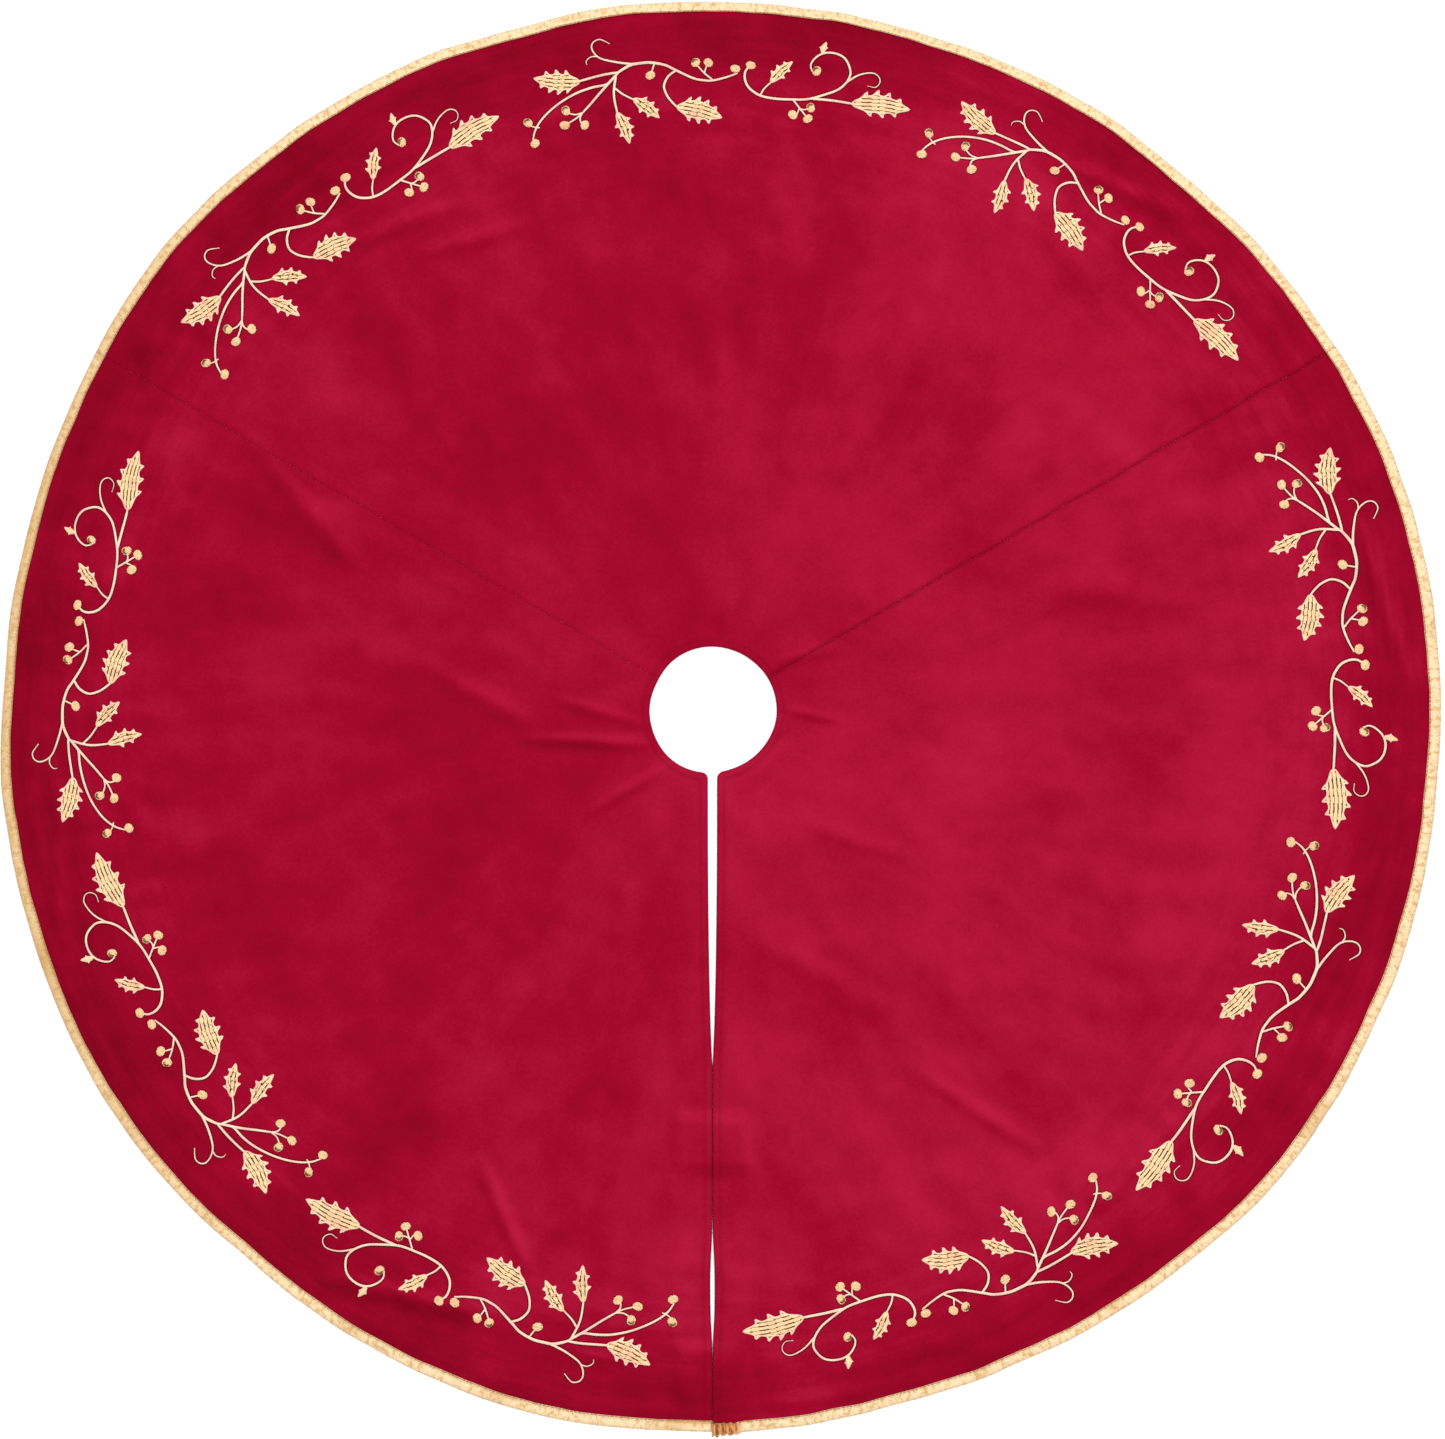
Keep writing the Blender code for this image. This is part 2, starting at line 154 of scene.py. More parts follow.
# How the cloth lies.
layValues = {
    "rows": 112, "columns": 721,
    "pointSpacing": 0.016,     # of the simulated cloth
    "frames": 40,
    "stitchShrink": 0.009,     # how much the stitched lines draw the cloth in
    "cloth": {"quality": 6, "mass": 0.3, "tension_stiffness": 40, "compression_stiffness": 40,
              "shear_stiffness": 10, "bending_stiffness": 12, "tension_damping": 10,
              "compression_damping": 10, "shear_damping": 10, "bending_damping": 2, "air_damping": 2},
    "startLevel": 0.004, "startUnevenness": 0.0015, "floorClearance": 0.001, "floorFriction": 5,
    "heightGain": 1.5,
    "smoothing": 0.011,
    "highest": 0.0062,
    "outlineHold": 7.0,        # higher keeps the strays near the hem
    "hemWander": 0.0013,
    "holeWander": 0.0011,
    # small rumples and sideways strays: height, length, and how far they reach from the motifs
    "motifsFromHem": 0.082, "rumpleHeight": 0.0011, "rumpleLength": 0.019, "rumpleReach": 0.050,
    "swellHeight": 0.0011, "swellLength": 0.075, "strayReach": 0.0007, "strayLength": 0.045,
    # half sizes of the raised cloth over a closure, and where it is level again
    "closureAlong": (0.016, 0.030), "closureAcross": (0.024, 0.038),
    # how far the hem strays from a true circle: waves a turn, metres, where it peaks (degrees)
    "outline": [(1, 0.0080, 312), (2, 0.0029, 166), (3, 0.0033, 115), (4, 0.0016, 44),
                (5, 0.0008, 45), (6, 0.0019, 17)],
    # soft creases: from (degrees, radius), to (degrees, radius), width, height
    "creases": [
        ((208, 0.064), (189, 0.160), 0.0048, 0.0015), ((231, 0.064), (220, 0.135), 0.0048, 0.0014),
        ((192, 0.062), (176, 0.135), 0.0050, 0.0009), ((333, 0.069), (290, 0.073), 0.0042, 0.0016),
        ((0, 0.062), (355, 0.110), 0.0040, 0.0007), ((37, 0.066), (26, 0.120), 0.0045, 0.0008),
        ((84, 0.068), (79, 0.098), 0.0045, 0.0013), ((220, 0.150), (233, 0.235), 0.0110, 0.0018),
        ((243, 0.160), (251, 0.235), 0.0100, 0.0013), ((186, 0.15), (172, 0.24), 0.0080, 0.0011),
        ((243, 0.43), (252, 0.50), 0.0060, 0.0020), ((310, 0.13), (322, 0.20), 0.0070, 0.0009),
        ((236, 0.58), (250, 0.545), 0.0060, 0.0024), ((4, 0.585), (-6, 0.57), 0.0070, 0.0024),
        ((128, 0.50), (117, 0.48), 0.0050, 0.0022), ((122, 0.455), (111, 0.44), 0.0055, 0.0018),
        ((75, 0.10), (64, 0.24), 0.0110, 0.0012), ((300, 0.36), (306, 0.46), 0.0070, 0.0014),
        ((57, 0.55), (46, 0.585), 0.0070, 0.0020), ((100, 0.20), (84, 0.33), 0.0130, 0.0011),
        ((282, 0.20), (300, 0.30), 0.0110, 0.0010), ((158, 0.33), (150, 0.45), 0.0090, 0.0013),
        ((20, 0.30), (12, 0.42), 0.0110, 0.0011), ((355, 0.50), (347, 0.47), 0.0060, 0.0015),
        ((16, 0.565), (3, 0.580), 0.0050, 0.0024), ((352, 0.590), (343, 0.560), 0.0055, 0.0024),
        ((265, 0.550), (258, 0.558), 0.0040, 0.0016), ((150, 0.56), (143, 0.585), 0.0055, 0.0018),
        ((198, 0.585), (187, 0.560), 0.0055, 0.0018), ((312, 0.575), (302, 0.590), 0.0055, 0.0016),
    ],
}


def clothPoints(spacing):
    # rings of points from the hole to the hem, each one open at the slit
    rings = round((hemRadius - holeRadius) / spacing / 0.9)
    points = []
    for ring in range(rings + 1):
        radius = holeRadius + (hemRadius - holeRadius) * ring / rings
        edge = math.asin(float(slitHalfGap(radius)) / radius)
        steps = math.ceil((fullTurn - 2 * edge) * radius / spacing)
        stagger = 0.5 if ring % 2 else 0.0
        shares = [0.0] + [(step + stagger) / steps for step in range(1, steps)] + [1.0]
        shares = [share for share in shares if share <= 1]
        points += [tuple(atTurn(radius, edge + (fullTurn - 2 * edge) * share)) for share in shares]
    return points


def clothFaces(points):
    corners, _, faces, _, _, _ = delaunay_2d_cdt([Vector(p) for p in points], [], [], 0, 1e-7)
    corners = np.array([tuple(corner) for corner in corners])
    turns = turnFromSlit(corners)
    kept = []
    for face in faces:
        across = np.ptp(turns[list(face)]) > math.pi
        middle = corners[list(face)].mean(axis=0)
        inHole = np.hypot(*middle) < holeRadius * 0.985
        if not inHole and not (across and middle[1] < 0):
            kept.append(tuple(face))
    return corners, kept


# share of the full shrinking, and how far it reaches
drawnInValues = {"motifs": (0.7, 0.035), "motifsRadius": hemRadius - 0.084, "hem": (1.0, 0.012),
                 "hole": (0.8, 0.010), "seams": (0.6, 0.020)}


def drawnIn(corners, values):
    # where thread, seams and turned edges shrink the cloth a little
    radius = np.hypot(*corners.T)
    turn = turnFromSlit(corners)
    lines = [(values["motifs"], radius - values["motifsRadius"]), (values["hem"], radius - hemRadius),
             (values["hole"], radius - holeRadius)]
    lines += [(values["seams"], (turn - seam) * radius) for seam in [0.0, *seamTurns, fullTurn]]
    weight = np.maximum.reduce([share * np.exp(-(away / reach) ** 2) for (share, reach), away in lines])
    return np.clip(weight * (0.65 + 0.7 * noiseAt(corners, 7, 8.0)), 0, 1)


def simulateCloth(values):
    # the whole skirt as one cloth with its slit cut, let down onto the floor
    corners, faces = clothFaces(clothPoints(values["pointSpacing"]))
    start = values["startLevel"] + values["startUnevenness"] * noiseAt(corners, 9, 3.1)
    mesh = bpy.data.meshes.new("trialCloth")
    mesh.from_pydata(np.column_stack([corners, start]).tolist(), [], faces)
    cloth = bpy.data.objects.new("trialCloth", mesh)
    table = bpy.data.objects.new("trialFloor", bpy.data.meshes.new("trialFloor"))
    table.data.from_pydata([(-2, -2, 0), (2, -2, 0), (2, 2, 0), (-2, 2, 0)], [], [(0, 1, 2, 3)])
    for piece in (cloth, table):
        bpy.context.scene.collection.objects.link(piece)
    table.modifiers.new("floor", "COLLISION")
    table.collision.thickness_outer = values["floorClearance"]
    table.collision.cloth_friction = values["floorFriction"]
    group = cloth.vertex_groups.new(name="drawnIn")
    for index, weight in enumerate(drawnIn(corners, drawnInValues)):
        group.add([index], float(weight), "REPLACE")
    trial = cloth.modifiers.new("cloth", "CLOTH")
    for setting, value in values["cloth"].items():
        setattr(trial.settings, setting, value)
    trial.settings.vertex_group_shrink = "drawnIn"
    trial.settings.shrink_min = 0.0
    trial.settings.shrink_max = values["stitchShrink"]
    trial.collision_settings.distance_min = values["floorClearance"]
    trial.collision_settings.use_self_collision = False
    trial.point_cache.frame_start = 1
    trial.point_cache.frame_end = values["frames"]
    scene = bpy.context.scene
    for step in range(1, values["frames"] + 1):
        scene.frame_set(step)
    settled = cloth.evaluated_get(bpy.context.evaluated_depsgraph_get()).data
    places = meshPlaces(settled)
    scene.frame_set(1)
    for piece in (cloth, table):
        bpy.data.objects.remove(piece)
    print("cloth settled:", len(corners), "points")
    return corners, faces, places - np.column_stack([corners, np.zeros(len(corners))])


def blurAlong(rows, spread):
    # a bell-shaped blur of each row, which repeats the row's own ends
    blurred = np.empty_like(rows)
    for index, row in enumerate(rows):
        reach = max(1, int(3 * spread[index]))
        bell = np.exp(-0.5 * (np.arange(-reach, reach + 1) / spread[index]) ** 2)
        padded = np.pad(row, reach, mode="edge")
        blurred[index] = np.convolve(padded, bell / bell.sum(), mode="valid")
    return blurred


class LayMap:
    # how far each point of the flat cloth has moved, on a grid of radii and turns
    def __init__(self, values):
        self.radii = np.linspace(holeRadius, hemRadius, values["rows"])
        self.turns = np.linspace(0, fullTurn, values["columns"])
        self.moves = np.zeros((3, len(self.radii), len(self.turns)))
        grid = atTurn(self.radii[:, None], self.turns[None, :])
        self.sample(*simulateCloth(values), grid)
        self.soften(values["smoothing"])
        self.moves[2] -= np.percentile(self.moves[2], 2)
        self.moves[2] *= values["heightGain"]
        self.addCreases(values["creases"], grid)
        self.addRumples(values, grid)
        top = values["highest"]
        self.moves[2] = top * np.tanh(np.clip(self.moves[2], 0, None) / top)
        self.addOutline(values["outline"])
        self.liftOverClosures(values, grid)

    def sample(self, corners, faces, moved, grid):
        flat = BVHTree.FromPolygons([(x, y, 0) for x, y in corners], faces)
        for row in range(grid.shape[0]):
            for column in range(grid.shape[1]):
                turn = min(max(self.turns[column], 0.004), fullTurn - 0.004)
                spot = atTurn(self.radii[row], turn)
                place, _, face, _ = flat.find_nearest((spot[0], spot[1], 0))
                index = list(faces[face])
                # the three corners' shares in this spot
                (ax, ay), (bx, by), (cx, cy) = corners[index]
                whole = (by - cy) * (ax - cx) + (cx - bx) * (ay - cy)
                first = ((by - cy) * (place.x - cx) + (cx - bx) * (place.y - cy)) / whole
                second = ((cy - ay) * (place.x - cx) + (ax - cx) * (place.y - cy)) / whole
                shares = np.array([first, second, 1 - first - second])
                self.moves[:, row, column] = shares @ moved[index]

    def soften(self, spread):
        step = self.radii[1] - self.radii[0]
        around = spread / (self.radii * (self.turns[1] - self.turns[0]))
        for layer in range(3):
            softened = blurAlong(self.moves[layer], np.clip(around, 0.5, 60))
            inward = blurAlong(softened.T.copy(), np.full(len(self.turns), spread / step))
            self.moves[layer] = inward.T

    def addCreases(self, creases, grid):
        for (fromAngle, fromRadius), (toAngle, toRadius), width, height in creases:
            start = atTurn(fromRadius, math.radians(fromAngle) + math.pi / 2)
            end = atTurn(toRadius, math.radians(toAngle) + math.pi / 2)
            along = end - start
            share = ((grid - start) @ along) / (along @ along)
            nearest = start + np.clip(share, 0, 1)[..., None] * along
            away = np.linalg.norm(grid - nearest, axis=-1)
            fade = smooth(-0.25, 0.3, share) * (1 - smooth(0.6, 1.3, share))
            self.moves[2] += height * fade * np.exp(-(away / width) ** 2)

    def addRumples(self, values, grid):
        # the thread draws the cloth up into small rumples, and it lies uneven elsewhere
        flat = grid.reshape(-1, 2)
        shape = grid.shape[:2]
        small = noiseAt(flat, 1 / values["rumpleLength"], 12.0).reshape(shape)
        broad = noiseAt(flat, 1 / values["swellLength"], 13.0).reshape(shape)
        aside = self.radii - (hemRadius - values["motifsFromHem"])
        near = np.exp(-(aside / values["rumpleReach"]) ** 2)[:, None]
        near = 0.22 + 0.78 * near * smooth(-0.25, 0.35, broad)
        self.moves[2] += values["rumpleHeight"] * (small + 0.25) * near + values["swellHeight"] * broad
        for side in range(2):
            stray = noiseAt(flat, 1 / values["strayLength"], 14.0 + side).reshape(shape)
            self.moves[side] += 2 * values["strayReach"] * stray * smooth(0.02, 0.06, np.abs(grid[..., 0]))

    def slopes(self, points):
        # how steeply the laid cloth rises towards +X and towards +Y
        step = 0.003
        levels = [self.place(points + move, 0.0)[:, 2]
                  for move in ([step, 0], [-step, 0], [0, step], [0, -step])]
        return (levels[0] - levels[1]) / (2 * step), (levels[2] - levels[3]) / (2 * step)

    def addOutline(self, waves):
        share = (self.radii - holeRadius) / (hemRadius - holeRadius)
        reach = share ** layValues["outlineHold"]
        angle = self.turns - math.pi / 2
        stray = sum(size * np.cos(count * (angle - math.radians(peak)))
                    for count, size, peak in waves)
        spots = np.column_stack([np.cos(angle), np.sin(angle)])
        stray = stray + layValues["hemWander"] * 2 * noiseAt(spots, 5.5, 6.0)
        atHole = layValues["holeWander"] * (np.cos(2 * angle - 1.2) * 0.6 + np.cos(3 * angle + 0.4) * 0.6)
        direction = np.stack([np.cos(angle), np.sin(angle)])
        strays = reach[:, None] * stray + np.exp(-share / 0.08)[:, None] * atHole
        self.moves[:2] += strays[None] * direction[:, None, :]
        # the two edges of the slit stay side by side
        nearSlit = np.exp(-(np.minimum(self.turns, fullTurn - self.turns)
                            * self.radii[:, None] / 0.05) ** 2)
        self.moves[0] *= 1 - nearSlit

    def liftOverClosures(self, values, grid):
        across = 1 - smooth(*values["closureAcross"], np.abs(grid[..., 0]))
        for middle in closureMiddles.values():
            away = np.abs(np.hypot(*grid.transpose(2, 0, 1)) - middle)
            along = 1 - smooth(*values["closureAlong"], away)
            share = along * across * (grid[..., 1] < 0)
            raised = np.maximum(self.moves[2], closureClearance)
            self.moves[2] += share * (raised - self.moves[2])

    def place(self, points, level):
        # flat points and their level in the pile, laid
        points = np.asarray(points, float)
        row = np.clip((np.hypot(*points.T) - holeRadius) / (hemRadius - holeRadius), 0, 1)
        row = row * (len(self.radii) - 1)
        column = turnFromSlit(points) / fullTurn * (len(self.turns) - 1)
        r0 = np.minimum(row.astype(int), len(self.radii) - 2)
        c0 = np.minimum(column.astype(int), len(self.turns) - 2)
        fr, fc = row - r0, column - c0
        moved = ((1 - fr) * (1 - fc) * self.moves[:, r0, c0] + fr * (1 - fc) * self.moves[:, r0 + 1, c0]
                 + (1 - fr) * fc * self.moves[:, r0, c0 + 1] + fr * fc * self.moves[:, r0 + 1, c0 + 1])
        return np.column_stack([points + moved[:2].T, moved[2] + level])


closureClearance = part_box("loop_patch_inner")[1].z - 0.0003   # the pile's lowest point there
layMap = LayMap(layValues)
print("lay map ready, highest", round(float(layMap.moves[2].max()) / millimetre, 2), "mm")


# Shader maths.
class Field:
    # one socket, so that shader maths reads as plain arithmetic
    def __init__(self, shop, socket):
        self.shop = shop
        self.socket = socket

    def __add__(self, other):
        return self.shop.maths("ADD", self, other)

    def __sub__(self, other):
        return self.shop.maths("SUBTRACT", self, other)

    def __rsub__(self, other):
        return self.shop.maths("SUBTRACT", other, self)

    def __mul__(self, other):
        return self.shop.maths("MULTIPLY", self, other)

    def __pow__(self, other):
        return self.shop.maths("POWER", self, other)

    __radd__ = __add__
    __rmul__ = __mul__

    def step(self, low, high, lowValue=0.0, highValue=1.0):
        settings = {"interpolation_type": "SMOOTHSTEP", "clamp": True}
        return self.shop.add("MapRange", settings, (self, low, high, lowValue, highValue))


class Finish:
    # a material and the nodes that make it
    def __init__(self, name, roughness, **constants):
        self.material = bpy.data.materials.new(name)
        self.material.use_nodes = True
        self.nodes = self.material.node_tree.nodes
        self.links = self.material.node_tree.links
        self.shader = self.nodes["Principled BSDF"]
        self.shader.inputs["Roughness"].default_value = roughness
        for socket, value in constants.items():
            self.shader.inputs[socket.replace("_", " ")].default_value = value

    def maths(self, operation, *values):
        return self.add("Math", {"operation": operation}, values)

    def add(self, kind, settings=None, values=(), output=0):
        # settings come first, because some of them change the node's sockets
        node = self.nodes.new("ShaderNode" + kind)
        for setting, value in (settings or {}).items():
            if setting == "stops":
                self.setStops(node.color_ramp, value)
            else:
                setattr(node, setting, value)
        if isinstance(values, dict):
            pairs = [(node.inputs[name], value) for name, value in values.items()]
        else:
            pairs = zip(node.inputs, values)
        for socket, value in pairs:
            self.feed(socket, value)
        return Field(self, node.outputs[output])

    def feed(self, socket, value):
        if isinstance(value, Field):
            self.links.new(value.socket, socket)
        elif value is not None:
            socket.default_value = value

    def setStops(self, ramp, stops):
        while len(ramp.elements) < len(stops):
            ramp.elements.new(0.5)
        for element, (position, color) in zip(ramp.elements, stops):
            element.position = position
            element.color = (*color, 1)

    def place(self):
        return self.add("TexCoord", output="Object")

    def stretched(self, source, scale, turn=0.0):
        settings = {"vector_type": "POINT"}
        values = {"Vector": source, "Scale": scale, "Rotation": (0, 0, turn)}
        return self.add("Mapping", settings, values)

    def noise(self, source, scale, detail=2.0, roughness=0.5):
        values = {"Vector": source, "Scale": scale, "Detail": detail, "Roughness": roughness}
        return self.add("TexNoise", values=values)

    def ribs(self, source, scale, direction="X", distortion=0.0):
        settings = {"wave_type": "BANDS", "bands_direction": direction, "wave_profile": "SIN"}
        values = {"Vector": source, "Scale": scale, "Distortion": distortion}
        return self.add("TexWave", settings, values, output="Fac")

    def attribute(self, name):
        return self.add("Attribute", {"attribute_name": name}, output="Fac")

    def mix(self, share, first, second):
        values = {6: (*first, 1) if isinstance(first, tuple) else first,
                  7: (*second, 1) if isinstance(second, tuple) else second, 0: share}
        return self.add("Mix", {"data_type": "RGBA"}, values, output=2)

    def give(self, **values):
        for label, value in values.items():
            self.feed(self.shader.inputs[label.replace("_", " ")], value)

    def bump(self, height, distance, strength=1.0):
        values = {"Height": height, "Distance": distance, "Strength": strength}
        self.give(Normal=self.add("Bump", values=values))


velvetValues = {
    "deep": (0.175, 0.0006, 0.0090), "usual": (0.265, 0.0014, 0.0172), "lit": (0.36, 0.0070, 0.0345),
    "brushScale": 6.5, "streakScale": 9.0, "pileScale": 1500.0, "pileHeight": 0.00035,
    "calmRadius": 0.30,       # no strokes show nearer the hole than about a third of this
    "halfTone": 0.19,         # how much lighter the right half lies
    "hemTone": 0.30,          # how much darker it is along the hem
    "hemFrom": 0.515, "hemTo": 0.575,
    "shadeShare": 0.55,     # how dark the painted shade lines get
    "hemStrokes": 3.0,        # how fine the strokes along the hem are
}


def makeVelvet(values):
    finish = Finish("crimsonVelvet", 0.85, Sheen_Weight=0.25, Sheen_Roughness=0.35,
                    Sheen_Tint=(1.0, 0.06, 0.16, 1.0), Specular_IOR_Level=0.02)
    place = finish.place()
    brushed = finish.noise(place, values["brushScale"], 3.0, 0.55)
    patches = finish.noise(place, values["brushScale"] * 4.5, 4.0, 0.68)
    # the pile is brushed in strokes that run out from the hole
    apart = finish.add("SeparateXYZ", values=(place,))
    across = Field(finish, apart.socket.node.outputs[1])
    turn = finish.maths("ARCTAN2", apart, across)
    out = (apart * apart + across * across) ** 0.5
    strokes = finish.add("CombineXYZ", values=(turn * 1.1, out * 1.1, 0.0))
    streaks = finish.noise(strokes, values["streakScale"], 3.0, 0.55) - 0.5
    streaks = streaks * (out * (1 / values["calmRadius"])).step(0.35, 1.2)
    pile = finish.noise(place, values["pileScale"], 2.0, 0.6)
    clumps = finish.noise(place, values["pileScale"] * 0.22, 2.0, 0.6)
    # painted light and shade from the cloth's slope is added to the tone
    tone = (brushed - 0.5) * 0.95 + streaks * 0.55 + (patches - 0.5) * 0.40 + finish.attribute("lean")
    tone = tone + (clumps - 0.5) * 0.3 + (pile - 0.5) * 0.45
    along = finish.add("CombineXYZ", values=(turn * 1.6, out * 24.0, 0.0))
    hemStrokes = (finish.noise(along, values["hemStrokes"], 3.0, 0.6) - 0.5) * out.step(0.40, 0.56)
    tone = tone + hemStrokes * 0.7
    # the pile lies the other way on the left half, and the velvet is darker along the hem
    half = (apart * 0.94 - across * 0.34 + (brushed - 0.5) * 0.2).step(-0.15, 0.08)
    tone = tone + half * values["halfTone"]
    tone = tone - (out + (brushed - 0.5) * 0.06).step(values["hemFrom"], values["hemTo"]) * values["hemTone"]
    stops = [(0.0, values["deep"]), (0.5, values["usual"]), (1.0, values["lit"])]
    base = finish.add("ValToRGB", {"stops": stops}, (tone + 0.5,))
    # painted shade: the dark lines carried on the gore's mesh pull the velvet towards its deep colour
    pressed = finish.attribute("pressed")
    finish.give(Base_Color=finish.mix(pressed * values["shadeShare"], base, values["deep"]))
    finish.bump(pile * 0.6 + clumps * 0.8, values["pileHeight"], 0.75)
    return finish.material


liningValues = {"deep": (0.20, 0.0030, 0.0150), "usual": (0.31, 0.0060, 0.0240), "weaveScale": 420.0}


def makeLining(values):
    finish = Finish("redSatin", 0.42, Sheen_Weight=0.15, Specular_IOR_Level=0.45)
    place = finish.place()
    warp = finish.ribs(place, values["weaveScale"], "X", 0.6)
    weft = finish.ribs(place, values["weaveScale"], "Y", 0.6)
    slub = finish.noise(finish.stretched(place, (1, 14, 1)), 60.0, 3.0)
    soft = finish.noise(place, 8.0, 2.0)
    weave = warp * (1 - weft)
    share = (soft * 0.5 + slub * 0.35 + weave * 0.3).step(0.2, 0.85)
    finish.give(Base_Color=finish.mix(share, values["deep"], values["usual"]))
    finish.give(Roughness=0.34 + weave * 0.18 + slub * 0.1)
    finish.bump(weave + slub * 0.5, 0.00012, 0.6)
    return finish.material


bindingValues = {
    "pale": (0.71, 0.45, 0.215), "bright": (0.86, 0.67, 0.42), "deep": (0.50, 0.26, 0.060),
    "brown": (0.24, 0.065, 0.010), "orange": (0.60, 0.215, 0.025), "ribScale": 380.0, "mottleScale": 240.0,
}


def makeBindingCloth(values):
    # the strip's own UV map runs along the hem and across the strip, in metres
    finish = Finish("goldLame", 0.42, Sheen_Weight=0.1)
    place = finish.place()
    lie = finish.add("UVMap", {"uv_map": "strip"})
    ribs = finish.ribs(lie, values["ribScale"], "X", 0.4)
    cross = finish.ribs(lie, values["ribScale"] * 0.6, "Y", 0.4)
    patches = finish.noise(place, 11.0, 3.0, 0.6)
    flecks = finish.noise(finish.stretched(lie, (1, 0.35, 1)), 900.0, 2.0)
    worn = finish.attribute("worn")
    mottle = finish.noise(finish.stretched(lie, (1, 0.7, 1)), values["mottleScale"], 3.0, 0.65)
    shine = (flecks * 0.6 + mottle * 0.5 + ribs * 0.2).step(0.45, 0.8)
    base = finish.mix(shine, values["pale"], values["bright"])
    base = finish.mix((1 - mottle).step(0.50, 0.62) * 0.6, base, values["deep"])
    # the lame has dulled to a deeper gold along its left side and at the bunched end
    apart = finish.add("SeparateXYZ", values=(place,))
    aged = (apart * -1.0).step(0.30, 0.60) * 0.6 + patches.step(0.56, 0.74) * 0.5
    base = finish.mix(aged * (flecks * 0.8 + patches * 0.7).step(0.45, 0.85), base, values["deep"])
    base = finish.mix(worn * (flecks * 0.6 + mottle).step(0.35, 0.75), base, values["orange"])
    specks = finish.noise(finish.stretched(lie, (1, 0.5, 1)), 420.0, 3.0, 0.7)
    stained = ((worn * 1.1 + aged * 0.45) * specks).step(0.40, 0.58) * 0.9
    finish.give(Base_Color=finish.mix(stained, base, values["brown"]))
    finish.give(Metallic=0.12 + flecks.step(0.45, 0.75) * (0.18 + worn * 0.35))
    finish.give(Roughness=0.36 + ribs * 0.12 + flecks * 0.14)
    finish.bump(ribs + cross * 0.5 + flecks * 0.6, 0.00014, 0.7)
    return finish.material


threadValues = {
    "creamRayon": {"cream": (0.84, 0.54, 0.25), "pale": (0.94, 0.71, 0.42), "rose": (0.84, 0.48, 0.27),
                   "shade": (0.58, 0.31, 0.10)},
    "roseRayon": {"cream": (0.93, 0.63, 0.45), "pale": (0.99, 0.77, 0.61), "rose": (0.92, 0.48, 0.43),
                  "shade": (0.70, 0.36, 0.24)},
}


def makeThread(name, values, roughness=0.38):
    finish = Finish(name, roughness, Sheen_Weight=0.2, Specular_IOR_Level=0.6)
    place = finish.place()
    dye = finish.noise(place, 75.0, 2.0)
    strand = finish.noise(place, 1600.0, 2.0)
    fibre = finish.noise(place, 5200.0, 1.0)
    base = finish.mix(strand.step(0.3, 0.7), values["cream"], values["pale"])
    base = finish.mix(dye.step(0.48, 0.66) * 0.7, base, values["rose"])
    finish.give(Base_Color=finish.mix((1 - fibre).step(0.55, 0.75) * 0.25, base, values["shade"]))
    finish.bump(fibre, 0.00004, 0.5)
    return finish.material


plainValues = {
    # painted shadow: a dark red round the stems, leaves and berries, and a dark brown showing between the
    # leaf stitches
    "pressedPile": {"dark": (0.110, 0.0012, 0.0060), "light": (0.19, 0.0022, 0.0110), "scale": 900.0},
    "leafBed": {"dark": (0.060, 0.018, 0.006), "light": (0.15, 0.055, 0.018), "scale": 900.0},
    # painted shade on the berries, laid as dark olive thread
    "oliveThread": {"dark": (0.075, 0.032, 0.007), "light": (0.20, 0.105, 0.030), "scale": 2200.0},
    "brownThread": {"dark": (0.20, 0.085, 0.020), "light": (0.46, 0.27, 0.10), "scale": 700.0},
    "edgeThread": {"dark": (0.42, 0.37, 0.24), "light": (0.62, 0.56, 0.40), "scale": 2600.0},
    "closureWebbing": {"dark": (0.11, 0.004, 0.010), "light": (0.22, 0.007, 0.020), "scale": 700.0},
    "hookNylon": {"dark": (0.10, 0.004, 0.009), "light": (0.24, 0.010, 0.024), "scale": 500.0},
    "loopNylon": {"dark": (0.13, 0.005, 0.012), "light": (0.30, 0.014, 0.034), "scale": 500.0},
}


def makePlain(name, values, roughness=0.7):
    finish = Finish(name, roughness, Specular_IOR_Level=0.06)
    place = finish.place()
    grain = finish.noise(place, values["scale"], 2.0)
    patches = finish.noise(place, 40.0, 2.0)
    share = (grain * 0.7 + patches * 0.5).step(0.35, 0.85)
    finish.give(Base_Color=finish.mix(share, values["dark"], values["light"]))
    finish.give(Roughness=roughness - 0.1 + grain * 0.2)
    finish.bump(grain, 0.00010, 0.6)
    return finish.material


finishes = {name: makePlain(name, values) for name, values in plainValues.items()}
finishes["velvet"] = makeVelvet(velvetValues)
finishes["lining"] = makeLining(liningValues)
finishes["binding"] = makeBindingCloth(bindingValues)
finishes.update({name: makeThread(name, values) for name, values in threadValues.items()})
print("finishes ready:", len(finishes))


# Meshes.
def gridMesh(name, places, flip=False):
    # a sheet of quads through a grid of points, facing up, or down when flipped
    rows, columns = places.shape[:2]
    index = np.arange(rows * columns).reshape(rows, columns)
    quads = np.stack([index[:-1, :-1], index[1:, :-1], index[1:, 1:], index[:-1, 1:]], axis=-1)
    quads = quads.reshape(-1, 4)
    if flip:
        quads = quads[:, ::-1]
    mesh = bpy.data.meshes.new(name)
    mesh.from_pydata(places.reshape(-1, 3).tolist(), [], quads.tolist())
    mesh.polygons.foreach_set("use_smooth", np.ones(len(quads), bool))
    return mesh


def addPiece(name, mesh, *materials):
    for material in materials:
        mesh.materials.append(material)
    piece = bpy.data.objects.new(name, mesh)
    bpy.context.scene.collection.objects.link(piece)
    return piece


